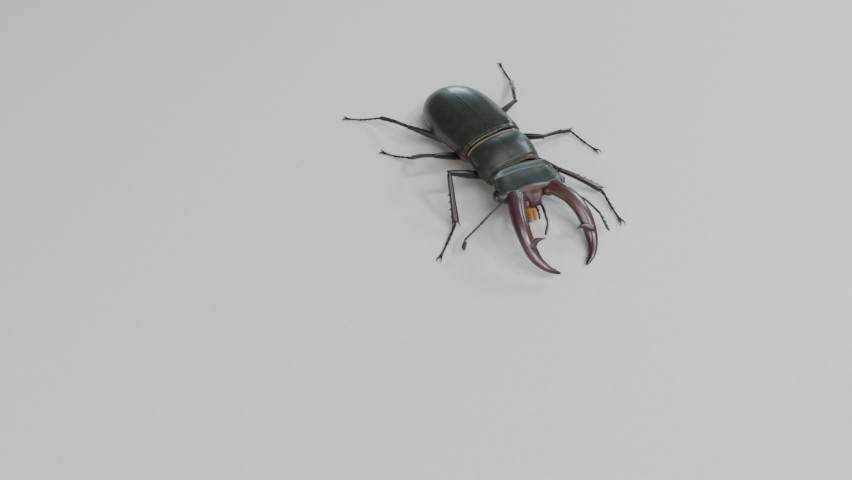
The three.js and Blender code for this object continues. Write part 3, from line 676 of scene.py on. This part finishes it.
def wing_case(side):
    """A closed thin shell: the outer face, the narrow fold at its side edge and the inner face."""
    along = round_ends(150)[:, None]
    angle = pi / 2 * (1 - round_ends(84))
    outer = section(ELYTRA_FORM, along, angle)
    middle_gap = 0.02 + 0.25 * ramp(0.975, 1, along)
    width = elytra_width(along)
    outer[..., 0] = outer[..., 0] * (width - middle_gap) / width + middle_gap
    inner = outer.copy()

    steps = np.linalg.norm(np.diff(outer, axis=1), axis=2)
    from_suture = np.concatenate([np.zeros((len(along), 1)), np.cumsum(steps, 1)], 1)
    from_side = from_suture[:, -1:] - from_suture
    x, y = outer[..., 0], outer[..., 1]
    from_base = y - ELYTRA.base
    round_tip = ramp(0, 2.5, from_suture[:, -1:])
    suture = -0.07 * bump(from_suture, 0.06) + 0.015 * bump(from_suture - 0.3, 0.15)
    rim = 0.1 * bump(from_side - 0.1, 0.2) - 0.12 * bump(from_side - 0.55, 0.24)
    base = 0.09 * bump(from_base - 0.2, 0.16) - 0.04 * bump(from_base - 0.6, 0.24)
    shoulder = 0.26 * bump(np.hypot(x - 6.9, (y - 2.9) * 0.7), 1.4)
    shoulder -= 0.1 * bump(np.hypot(x - 4.7, (y - 2.4) * 0.6), 1.2)
    ribs = 0.007 * np.cos(from_suture * 2.1) * ramp(0.06, 0.2, along) * ramp(0.9, 0.7, along)
    past_shield = np.clip((y - SCUTELLUM.root[1]) / (SCUTELLUM.tip[1] - SCUTELLUM.root[1]), 0, 1)
    trench = -0.16 * bump(x - scutellum_width(past_shield) - 0.03, 0.1) * ramp(3.9, 3.4, y)
    height = (suture + rim + ribs) * round_tip + base + shoulder + trench
    normal = unit(np.cross(np.gradient(outer, axis=1), np.gradient(outer, axis=0)))
    outer = outer + normal * height[..., None]

    hollow = 1 - ELYTRA.thickness / np.maximum(width, 1.2)
    edge = ELYTRA_FORM.edge(along)
    inner[..., 0] = middle_gap + (inner[..., 0] - middle_gap) * hollow
    inner[..., 2] = edge + (inner[..., 2] - edge) * (1 - ELYTRA.thickness / 4.5) - 0.12
    fold_size = np.minimum(1, width / 4)[..., None]
    lip = outer[:, -1:]
    fold_steps = ((-0.03, -0.14), (-0.12, -0.3), (-0.28, -0.42), (-0.5, -0.46))
    fold = [lip + fold_size * (dx, 0, dz) for dx, dz in fold_steps]
    rings = np.concatenate([outer, *fold, inner[:, ::-1]], 1)
    rings[..., 0] *= SIDES[side]

    brown = np.maximum(0.85 * ramp(2.4, 0.2, from_side), 0.5 * ramp(0.72, 1, along))
    brown = np.concatenate([brown, np.ones((len(along), len(fold))), brown[:, ::-1]], 1)
    make(
        f"wing_case_{side}", moved(tube(rings, thin=True), HIND), WING_CASE,
        [f"elytron_{side}"], brown.ravel(),
    )


def scutellum():
    def size(t):
        return scutellum_width(t) * (0.97 * domed(t, 0.06, 0.05)), 0.8 * domed(t, 0.08, 0.2)

    rings = rod_rings([SCUTELLUM.root, SCUTELLUM.tip], 40, 48, size, power=2.4)
    x = rings[..., 0]
    rings = lifted(rings, -0.1 * bump(x, 0.5) + 0.05 * bump(np.abs(x) - 0.9, 0.3))
    make("scutellum_shield", moved(tube(rings), HIND), WING_CASE, ["scutellum"])


# ---- Hind body underneath ----
def abdomen():
    """The belly's rings, each with a raised rear margin and a seam, and a groove on each side."""
    rings, _, angle = trunk_rings(ABDOMEN_FORM, 170, 128)
    above = np.where(np.sin(angle) >= 0, 1, -1)
    x, y = rings[..., 0], rings[..., 1]
    height = np.zeros_like(x)
    for place in STERNITES:
        from_seam = y - (place - 0.012 * x**2 * above)
        height += 0.13 * bump(from_seam + 0.35, 0.4) - 0.26 * bump(from_seam, 0.12)
        height -= 0.1 * ramp(0, -0.6, from_seam - 0.6) * bump(from_seam - 0.3, 0.3)
    side_groove = -0.096 * bump(np.abs(x) - 7.6, 0.5) * (np.sin(angle) < 0)
    rings = lifted(rings, height + side_groove)
    rings = with_end(rings, [(0.7, 0.35), (0.3, 0.55)])
    rings = with_end(rings, [(0.8, -0.02), (0.4, -0.03)], first=True)
    make("abdomen_rings", moved(tube(rings), HIND), UNDERSIDE, ["abdomen"])


def hind_thorax():
    """The breast between the middle and hind legs, with its keel and the seams of its plates."""
    rings, _, angle = trunk_rings(PTEROTHORAX_FORM, 110, 140)
    x, y = rings[..., 0], rings[..., 1]
    below = ramp(0.1, -0.35, np.sin(angle))
    keel = -0.3 * bump(x, 0.14) * ramp(5.2, 6.2, y) + 0.22 * bump(x, 0.6) * ramp(5.5, 3.8, y)
    suture = -0.22 * bump(y - 4.9 + 0.06 * np.abs(x), 0.14) * ramp(1.4, 2.2, np.abs(x))
    plates = -0.16 * bump(np.abs(x) - 5.6 - 0.15 * y, 0.16) * ramp(1.6, 2.6, y)
    rings = lifted(rings, (keel + suture + plates) * below)
    make("hind_thorax", moved(tube(rings), HIND), UNDERSIDE, ["pterothorax"])


# ---- Prothorax ----
def prothorax():
    """The pronotum's shield with its raised margins, and the fore legs' hollows under it."""
    rings, along, angle = trunk_rings(PROTHORAX_FORM, 150, 200)
    x = rings[..., 0]
    length = PROTHORAX.rear - PROTHORAX.front
    from_rear, from_front = along * length, (1 - along) * length
    upper = ramp(-0.05, 0.12, np.sin(angle))
    off_side = np.abs((angle + pi / 2) % pi - pi / 2)
    rear_margin = 0.14 * bump(from_rear - 0.16, 0.17) - 0.15 * bump(from_rear - 0.58, 0.22)
    front_margin = 0.13 * bump(from_front - 0.12, 0.16) - 0.12 * bump(from_front - 0.5, 0.2)
    side_margin = 0.22 * bump(off_side - 0.05, 0.05) - 0.16 * bump(off_side - 0.2, 0.07) * upper
    height = rear_margin + front_margin + side_margin
    centre_line = -0.07 * bump(x, 0.3) * ramp(0.08, 0.2, along) * ramp(0.95, 0.8, along) * upper
    pits = -0.06 * bump(np.hypot(np.abs(x) - 4.8, (along - 0.5) * length), 0.9) * upper
    keel = 0.35 * bump(x, 0.9) * bump(along - 0.6, 0.25) * (1 - upper)
    coxal = -0.5 * bump(np.hypot(np.abs(x) - 4.4, (along - 0.45) * length), 1.5) * (1 - upper)
    rings = lifted(rings, height + centre_line + pits + keel + coxal)
    front_turns = [
        (0.985, -0.12), (0.955, -0.13), (0.93, 0.02), (0.9, 0.5), (0.86, 1.2), (0.4, 1.4),
    ]
    rear_turns = [(0.985, 0.1), (0.955, 0.1), (0.93, -0.05), (0.89, -0.4), (0.4, -0.5)]
    rings = with_end(with_end(rings, front_turns), rear_turns, first=True)
    make("pronotum", moved(tube(rings), THORAX), SHELL, ["prothorax"])


# ---- Head ----
def head():
    """The head with its rear crest, side rims, dipped crown, face ridge and eye sockets."""
    rings, _, angle = trunk_rings(HEAD_FORM, 190, 260)
    x, y, z = np.moveaxis(rings, -1, 0)
    out = np.abs(x)
    upper = ramp(0.0, 0.3, np.sin(angle))
    off_rim = np.abs(np.abs(angle % pi - pi / 2) - (pi / 2 - 0.42))
    crest_y = -11.25 + HEAD_FORM.bow(0) * np.clip(1 - (out / 7.6) ** 2, 0, 1)
    crest = (0.12 + 0.12 * ramp(3, 6, out) - 0.18 * ramp(6.2, 7.4, out)) * bump(y - crest_y, 0.4)
    dip = -0.26 * ramp(7.4, 4, out) * bump(y + 14.0, 2.4)
    rim = 0.16 * bump(off_rim, 0.07) * ramp(-10.8, -11.6, y) * ramp(-17.9, -17, y)
    rim_dip = -0.1 * bump(off_rim - 0.2, 0.1) * ramp(-11.4, -12.6, y)
    ridge_y = -16.9 - 0.35 * bump(out - 4.6, 1.6) + 0.25 * bump(out, 1.6)
    front_ridge = 0.12 * bump(y - ridge_y, 0.45) * ramp(8.2, 7, out)
    face_drop = -0.22 * ramp(0.2, 1.3, ridge_y - y) * ramp(7.6, 5.6, out)
    height = (crest + dip + rim + rim_dip + front_ridge + face_drop) * upper
    wide, long = EYE.stretch
    from_eye = np.sqrt(((out - EYE.x) / wide) ** 2 + ((y - EYE.y) / long) ** 2 + (z - EYE.z) ** 2)
    socket = 0.1 * bump(from_eye - EYE.radius - 0.4, 0.22)
    socket = socket - 0.45 * ramp(EYE.radius + 0.2, EYE.radius - 0.2, from_eye)
    front_knob = 0.3 * bump(np.sqrt((out - 9.0) ** 2 + (y + 17.7) ** 2 + (z - 8.2) ** 2), 0.9)
    throat_line = -0.2 * bump(x, 0.25) * (1 - upper)
    rings = lifted(rings, height + socket + front_knob + throat_line)
    domes = [(0.985, -0.12), (0.95, -0.24), (0.88, -0.34), (0.7, -0.42), (0.35, -0.45)]
    rings = with_end(with_end(rings, domes), [(0.8, 0.3), (0.4, 0.5)], first=True)
    shape = tube(rings)
    x, y, z = shape[0].T
    red = ramp(-16.8, -18.3, y) * ramp(3.4, 1.8, np.abs(x + 0.3)) * ramp(6.6, 8.2, z)
    make("head_shell", moved(shape, SKULL), SHELL, ["head"], red * 0.9)


def eye(side):
    """An eye, pinched a little where the cheek's edge runs into it. Its facets are fine dents."""
    rings = ball(60, 90, hole=0.03)
    pinch = 1 - 0.035 * bump(rings[..., 2] - 0.35, 0.12)
    rings = rings * (EYE.radius * pinch)[..., None] * (*EYE.stretch, 1) + (EYE.x, EYE.y, EYE.z)
    rings[..., 0] *= SIDES[side]
    make(f"eye_facets_{side}", moved(tube(rings), SKULL), EYE_BLACK, [f"eye_{side}"])


def clypeus():
    """The face plate and upper lip between the mandibles' roots."""
    def size(t):
        wide = track((0, 2.75), (0.25, 2.4), (0.5, 1.8), (0.8, 1.65), (1, 1.2))(t)
        high = track((0, 0.95), (0.7, 0.6), (1, 0.42))(t)
        return wide * domed(t, 0.02, 0.05), high * domed(t, 0.02, 0.12)

    rings = rod_rings(CLYPEUS, 70, 64, size, power=2.8)
    t = np.linspace(0, 1, 71)[:, None]
    across = (rings[..., 0] + 0.4) / np.maximum(size(t)[0], 0.3)
    height = -0.3 * bump(across, 0.5) * ramp(0.02, 0.25, t) * ramp(0.75, 0.55, t)
    height = height + 0.08 * bump(np.abs(across) - 0.75, 0.2) * ramp(0.85, 0.6, t)
    height = height - 0.2 * bump(t - 0.72, 0.03) + 0.08 * bump(t - 0.8, 0.05)
    rings = lifted(rings, height)
    dark = ramp(0.64, 0.78, t) + 0 * across
    dark = np.append(dark.ravel(), (0, 1))
    make("clypeus", moved(tube(rings), SKULL), (FACE_RED, "mandible"), ["upper_lip"], dark)


# ---- Mandibles ----
def mandible_skin():
    """The left mandible's shape in the head's own frame, and how dark each point of it is."""
    wide = track(
        (0, 2.5), (0.14, 2.15), (0.3, 1.85), (0.58, 1.5), (0.7, 1.3), (0.8, 1.05), (0.9, 0.75),
        (1, 0.3),
    )
    high = track((0, 1.6), (0.2, 1.55), (0.5, 1.35), (0.75, 1.05), (0.9, 0.65), (1, 0.28))
    stations = np.linspace(0, 1, 120)
    rings = rod_rings(MANDIBLE, len(stations) - 1, 48, lambda t: (wide(t), high(t)), 2.2)
    curve = curve_through(MANDIBLE)
    middle = curve(stations)[:, None]
    spoke = unit(rings - middle)
    # An inner crest runs from the root to the tip, with a shallow channel above it.
    inward = np.clip(-spoke[..., 0] * 1.02, -1, 1)
    crest = 0.16 * ramp(0.86, 1, inward) * wide(stations)[:, None]
    channel = -0.13 * bump(inward - 0.62, 0.2) * (spoke[..., 2] > 0) * high(stations)[:, None]
    flat = -0.1 * bump(spoke[..., 2] - 1, 0.25) * high(stations)[:, None]
    body = tube(rings + spoke * (crest + channel + flat)[..., None])

    def tooth(place, tip, radius, power):
        root = curve(place)[0]
        bow = np.array([0.0, 0.14, 0.05]) * np.linalg.norm(tip - root)
        return thorn(root, np.array(tip), radius, bow, 16, 16, 0.07, power)

    teeth = [tooth(**MANDIBLE_TOOTH)]
    for t, length, radius in DENTICLES:
        root = curve(t)[0]
        forward = unit(curve(t + 0.01) - curve(t - 0.01))[0]
        inward_way = unit((-abs(forward[1]), -forward[0], 0.05))
        teeth.append(tooth(t, root + inward_way * length + forward * 0.25, radius, 0.9))
    hinge = ellipsoid((5.0, HEAD.front - 0.1, 8.0), (2.5, 0.9, 1.7))
    lobe = ellipsoid((4.0, HEAD.front - 0.9, 8.2), (1.75, 1.5, 1.25))
    points, faces = fused([body, hinge, lobe, *teeth], voxel=0.1, smoothing=7)

    # Tips and teeth are nearly black, and so is the inner edge. The middle is red.
    samples = np.linspace(0, 1, 400)
    line = curve(samples)
    nearest = np.concatenate([
        np.linalg.norm(block[:, None] - line[None], axis=2).argmin(1)
        for block in np.array_split(points, 20)
    ])
    place = samples[nearest]
    away = points - line[nearest]
    reach = -away[:, 0] / wide(place)
    dark = 0.9 * ramp(0.84, 1, place) + 0.8 * ramp(1.5, 2.4, reach) + 0.35 * ramp(0.05, 0, place)
    return (points, faces), dark


def mandibles():
    shape, dark = mandible_skin()
    for side, sign in SIDES.items():
        matrix = SKULL if sign > 0 else SKULL @ MIRROR
        make(f"mandible_jaw_{side}", moved(shape, matrix), MANDIBLE_RED, [f"mandible_{side}"], dark)


# ---- Antennae, palps and tongue ----
def antenna(side):
    root, elbow, wrist, tip = np.array(ANTENNAE[side])
    line = [root - 0.5 * unit(elbow - root), (root + elbow) / 2 + 0.25 * UP, elbow]
    scape = rod(line, 40, 16, lambda t: (0.2 + 0.17 * t**2.5) * domed(t, 0.02, 0.04))
    make(f"scape_{side}", scape, FEELER, [f"antenna_scape_{side}"])

    beads = []
    for start, end in pairwise(np.linspace(0, 1, 7)):
        line = [elbow + (wrist - elbow) * t for t in (start - 0.01, end + 0.02)]
        thick = 0.27 + 0.05 * end

        def bead_size(t, thick=thick):
            return thick * (0.55 + 0.45 * np.sin(pi * (0.12 + 0.62 * t))) * domed(t, 0.1, 0.3)

        beads.append(rod(line, 14, 14, bead_size))
    make(f"funicle_{side}", merged(beads), FEELER, [f"antenna_funicle_{side}"])

    stem = [wrist - 0.2 * unit(tip - wrist), tip]
    leaves = [rod(stem, 20, 12, lambda t: 0.24 * domed(t, 0.1, 0.1))]

    def leaf_size(t):
        return (0.3 + 0.05 * np.sin(pi * t)) * domed(t, 0.05, 0.3), 0.2 * domed(t, 0.05, 0.3)

    for place, length in CLUB_LEAVES:
        base = wrist + (tip - wrist) * place
        point = base + np.array([0, -1.0, -0.1]) * length
        leaves.append(rod([base, (base + point) / 2 + 0.06 * UP, point], 18, 14, leaf_size))
    make(f"club_{side}", merged(leaves), FEELER, [f"antenna_club_{side}"], tint=0.4)


def palp(name, points):
    radius = PALP_RADIUS[name.split("_")[0]]
    joints = (0, 0.14, 0.44, 0.7, 1) if len(points) > 3 else (0, 0.25, 0.6, 1)
    curve = curve_through(points)
    parts = []
    for start, end in pairwise(joints):
        t = np.linspace(start, min(1, end + 0.01), 5)

        def size(s, last=end == 1):
            if last:
                shape = 0.7 + 0.25 * np.sin(pi * s)
            else:
                shape = 0.6 + 0.4 * np.sin(pi * (0.1 + 0.5 * s))
            return radius * shape * domed(s, 0.05, 0.14)

        parts.append(rod(curve(t), 22, 16, size))
    make(name.replace("palp", "feeler"), merged(parts), FEELER, [name])


def tongue(name, points):
    """A soft lobe under a brush of orange bristles."""
    def size(t):
        return (0.36 - 0.16 * t**2) * domed(t, 0.1, 0.2), (0.28 - 0.08 * t) * domed(t, 0.1, 0.2)

    lobe = rod(points, 30, 18, size)
    make(name.replace("tongue", "tongue_lobe"), lobe, TONGUE_ORANGE, [name])
    count = TONGUE_BRISTLES
    t = random.uniform(0.05, 0.93, count)
    angle = random.uniform(0, 2 * pi, count)
    curve = curve_through(points)
    tangent = unit(curve(t + 0.01) - curve(t - 0.01))
    side = unit(np.cross(tangent, UP))
    over = np.cross(side, tangent)
    wide, high = size(t)
    spread = side * (np.cos(angle) * wide)[:, None] + over * (np.sin(angle) * high)[:, None]
    ways = tangent + unit(spread) * random.uniform(0.15, 0.6, (count, 1))
    lengths = random.uniform(0.5, 1.15, count) * (1.15 - 0.45 * t)
    hairs(
        name.replace("tongue", "tongue_brush"), curve(t) + spread * 0.9, ways, lengths, 0.035,
        0.15, (angle / (2 * pi), t), TONGUE_ORANGE,
    )


# ---- Legs ----
def leg(name, root, knee, ankle, toe):
    """Hip, thigh and shin, and the foot after them."""
    pair, side = name.split("_")
    sign = SIDES[side]
    size = LEG_SIZES[pair]
    thigh = unit(knee - root)
    shin = unit(ankle - knee)
    outward = unit((sign, 0, 0) - shin * (sign * shin[0]))

    coxa_root = np.array([sign * COXA.inner_x, root[1], root[2] - COXA.inner_drop])
    coxa_tip = root + (sign * COXA.overlap, 0, -COXA.outer_drop)

    def coxa_size(t):
        return (COXA.radius - COXA.taper * t) * domed(t, 0.25, 0.22)

    rings = rod_rings([coxa_root, coxa_tip], 40, 36, coxa_size)
    groove = -0.1 * bump(np.linspace(0, 1, 41)[:, None] - 0.8, 0.04)
    make(f"hip_{name}", tube(lifted(rings, groove)), LEG_BLACK, [f"coxa_{name}"])

    def femur_size(t):
        swell = 0.62 + 0.38 * np.sin(pi * np.clip(t * 0.95 + 0.1, 0, 1))
        r = size.femur * swell * domed(t, 0.06, 0.05)
        return 0.85 * r, r

    side_way = unit(np.cross(thigh, UP))
    thigh_line = [root, (root + knee) / 2 + 0.12 * UP, knee + 0.25 * thigh]
    parts = [rod(thigh_line, 56, 30, femur_size, 2.15)]
    trochanter = size.femur * np.array([0.8, 0.72, 0.76])
    parts.append(ellipsoid(root + 0.55 * thigh, trochanter))
    for turned in (-1, 1):
        lobe = knee + 0.1 * thigh + turned * 0.36 * side_way - 0.05 * UP
        parts.append(ellipsoid(lobe, (0.34, 0.46, 0.4)))
    make(f"thigh_{name}", merged(parts), LEG_BLACK, [f"femur_{name}"])

    def tibia_size(t):
        r = size.tibia + (size.ankle - size.tibia) * t**2.2
        ends = (0.8 + 0.2 * ramp(0, 0.08, t)) * domed(t, 0.02, 0.03)
        return r * ends, (0.6 * r + 0.4 * size.tibia) * ends

    shin_middle = (knee + ankle) / 2 + SHIN_BOW * UP
    rings = rod_rings([knee, shin_middle, ankle], 90, 40, tibia_size, 2.1)
    t = np.linspace(0, 1, 91)[:, None]
    flutes = 0.05 * np.cos(6 * around(40)) * ramp(0.06, 0.2, t) * ramp(0.98, 0.85, t)
    parts = [tube(lifted(rings, flutes))]
    shin_line = curve_through([knee, shin_middle, ankle])
    for t in size.teeth:
        start = shin_line(t)[0]
        tip = start + outward * (size.ankle + SHIN_TOOTH.reach) + shin * SHIN_TOOTH.lean
        parts.append(thorn(start - 0.1 * outward, tip, SHIN_TOOTH.radius, bow=outward * 0.12))
    for turned in (-1, 1):
        start = shin_line(SPUR.root_at)[0] + turned * outward * size.ankle * 0.45
        tip = ankle + shin * SPUR.length + outward * turned * (size.ankle + SPUR.reach)
        tip[2] = max(tip[2], SPUR.lowest)
        parts.append(thorn(start, tip, SPUR.radius, bow=outward * turned * 0.12))
    # Short bristles stand in four rows along the shin and in a ring at its end.
    over_way = np.cross(outward, shin)
    for t in np.arange(0.12, 0.95, 0.055):
        for turned in (-1, 1):
            for way in (outward, over_way):
                base = shin_line(t)[0] + turned * way * (tibia_size(np.array([t]))[0][0] * 0.8)
                tip = base + turned * way * 0.28 + shin * random.uniform(0.3, 0.5)
                parts.append(thorn(base, tip, 0.05, sides=5))
    for turned in around(10):
        way = (cos(turned) * outward + sin(turned) * over_way * 0.7) * size.ankle
        base = ankle - 0.15 * shin + way * 0.72
        parts.append(thorn(base, base + shin * 0.5 + unit(way) * 0.12, 0.07, sides=5))
    shape = merged(parts)
    shape[0][:, 2] = np.maximum(shape[0][:, 2], 0.02)
    red = 0.4 if pair == "fore" else 0.0
    make(f"shin_{name}", shape, LEG_BLACK, [f"tibia_{name}"], red)
    foot(name, size, ankle, toe)


def claw_size(t):
    return CLAW.root_radius * (1 - t) ** 0.75 + CLAW.tip_radius


def foot(name, size, ankle, toe):
    """Five joints, each wider at its far end, and two curved claws with a bristle between them."""
    ahead = unit((toe - ankle) * (1, 1, 0))
    across = np.cross(UP, ahead)
    landing = ankle + (toe - ankle) * TARSUS_LANDING.at
    landing[2] = toe[2] + TARSUS_LANDING.height * (ankle[2] - toe[2])
    curve = curve_through([ankle, landing, toe])
    parts = []
    for start, end in pairwise(TARSUS_JOINTS):
        last = end == 1

        def size_at(t, last=last):
            if last:
                swell = 0.5 + 0.1 * t + 0.34 * ramp(0.72, 0.92, t)
                r = size.tarsus * swell * domed(t, 0.03, 0.08)
            else:
                r = size.tarsus * (0.48 + 0.5 * t**1.3) * domed(t, 0.08, 0.16)
            return r, r * 0.92

        t = np.linspace(start, min(1, end + 0.006), 6)
        parts.append(rod(curve(t), 30 if last else 18, 18, size_at))
        end_point = curve(end)[0]
        way = unit(curve(end + 0.01) - curve(end - 0.02))[0]
        if not last:
            for turned in (-1, 1):
                base = end_point + turned * across * size.tarsus * 0.55 - 0.1 * way - 0.12 * UP
                tip = base + way * 0.55 + turned * across * 0.2 - 0.16 * UP
                parts.append(thorn(base, tip, 0.075, sides=6))
                tip = base + way * 0.4 + turned * across * 0.3 + 0.2 * UP
                parts.append(thorn(base, tip, 0.05, sides=5))

    for turned in (-1, 1):
        spread = turned_by(ahead, turn("Z", CLAW.spread * turned))
        start = toe - CLAW.overlap * ahead
        middle = toe + CLAW.middle[0] * ahead + CLAW.middle[1] * spread + CLAW.rise * UP
        end = toe + CLAW.tip[0] * ahead + CLAW.tip[1] * spread
        end[2] = CLAW.tip_height
        parts.append(rod([start, middle, end], 26, 14, claw_size))
        bristle_tip = toe + 0.75 * ahead + turned * 0.12 * across - 0.2 * UP
        parts.append(thorn(toe - 0.1 * UP, bristle_tip, 0.05, sides=5))
    shape = merged(parts)
    shape[0][:, 2] = np.maximum(shape[0][:, 2], 0.0)
    make(f"foot_{name}", shape, LEG_BLACK, [f"tarsus_{name}"])


# ---- Hair ----
def fringe(name, along, backward, count, length, rise):
    """Golden hair that comes from under one margin of the prothorax's shield and leans outward."""
    angle = random.uniform(0.06, 0.94, count) * pi
    row = random.uniform(0, 1, count)
    roots = section(PROTHORAX_FORM, np.full(count, along), angle)
    inward = unit((0, 0, 7.6) - roots * (1, 0, 1))
    roots = roots + inward * (0.15 + 0.4 * row)[:, None] - (0, 0.25 * backward, 0)
    ways = (0, backward, 0) - inward * random.uniform(*rise, (count, 1))
    ways = ways + random.normal(0, 0.16, (count, 3))
    lengths = length * random.uniform(0.7, 1.1, count)
    hairs(
        name, placed(roots, THORAX), turned_by(ways, THORAX), lengths, 0.03,
        0.12, (angle / pi, row), GOLD_HAIR,
    )


def under_hair():
    """Short golden-brown hair that lies back over the breast and the sides of the hind thorax."""
    count = BREAST_HAIRS
    along = random.uniform(0.04, 0.98, count)
    angle = -random.uniform(0.2, 0.8, count) * pi
    roots = section(PTEROTHORAX_FORM, along, angle)
    nearby = section(PTEROTHORAX_FORM, along, angle + 0.02)
    ahead = section(PTEROTHORAX_FORM, np.clip(along + 0.02, 0, 1), angle)
    normal = unit(np.cross(ahead - roots, nearby - roots))
    ways = (0, 1, 0) + normal * 0.4 + random.normal(0, 0.15, (count, 3))
    lengths = random.uniform(0.35, 0.7, count)
    hairs(
        "breast_hair", placed(roots, HIND), turned_by(ways, HIND), lengths, 0.022,
        0, (-angle / pi, along), GOLD_HAIR,
    )


# ---- Stage ----
def stage():
    mesh = bpy.data.meshes.new("floor")
    corners = [(x * FLOOR_HALF, y * FLOOR_HALF, 0) for x, y in ((-1, -1), (1, -1), (1, 1), (-1, 1))]
    mesh.from_pydata(corners, [], [(0, 1, 2, 3)])
    material, tree, shader, place = new_material("floor")
    tone = mapped(tree, noise(tree, place, 600.0, 4.0), 0.3, 0.7)
    colour = mixed(tree, tone, (0.63, 0.62, 0.6), (0.67, 0.66, 0.64))
    plug(tree, shader, Base_Color=colour, Roughness=0.9)
    mesh.materials.append(material)
    floor = new_object("floor", mesh)


def lights():
    """Soft boxes that face the middle of the floor, in a dim room."""
    for name, (place, size, energy, colour) in LIGHTS.items():
        light = bpy.data.lights.new(name, "AREA")
        light.shape = "RECTANGLE"
        light.size, light.size_y = size
        light.energy = energy
        light.color = colour
        lamp = new_object(name, light)
        lamp.location = place
        lamp.rotation_euler = (-lamp.location).to_track_quat("-Z", "Y").to_euler()
    world = bpy.data.worlds.new("studio")
    world.use_nodes = True
    background = world.node_tree.nodes["Background"]
    background.inputs["Color"].default_value = WORLD.colour
    background.inputs["Strength"].default_value = WORLD.strength
    bpy.context.scene.world = world


def camera():
    """The lens and place that give the view: from the right front and well above."""
    lens = bpy.data.cameras.new("camera")
    lens.lens = CAMERA.lens
    lens.sensor_width = CAMERA.sensor
    lens.clip_start = CAMERA.clip_start
    eye_point = new_object("camera", lens)
    eye_point.location = (np.array(CAMERA.place) + ORIGIN_SHIFT) * MM
    eye_point.rotation_euler = [radians(value) for value in CAMERA.angles]
    bpy.context.scene.camera = eye_point


camera()
lights()
stage()
for side_name in SIDES:
    wing_case(side_name)
    eye(side_name)
    antenna(side_name)
scutellum()
abdomen()
hind_thorax()
prothorax()
head()
clypeus()
mandibles()
for palp_name, palp_points in PALPS.items():
    palp(palp_name, palp_points)
for lobe_name, lobe_points in TONGUE.items():
    tongue(lobe_name, lobe_points)
for leg_name, leg_points in LEGS.items():
    leg(leg_name, *np.array(leg_points))
fringe("waist_fringe", along=0.01, backward=1.0, count=5200, length=1.2, rise=(0.2, 0.7))
fringe("collar_fringe", along=0.99, backward=-1.0, count=2400, length=0.7, rise=(0.05, 0.45))
under_hair()
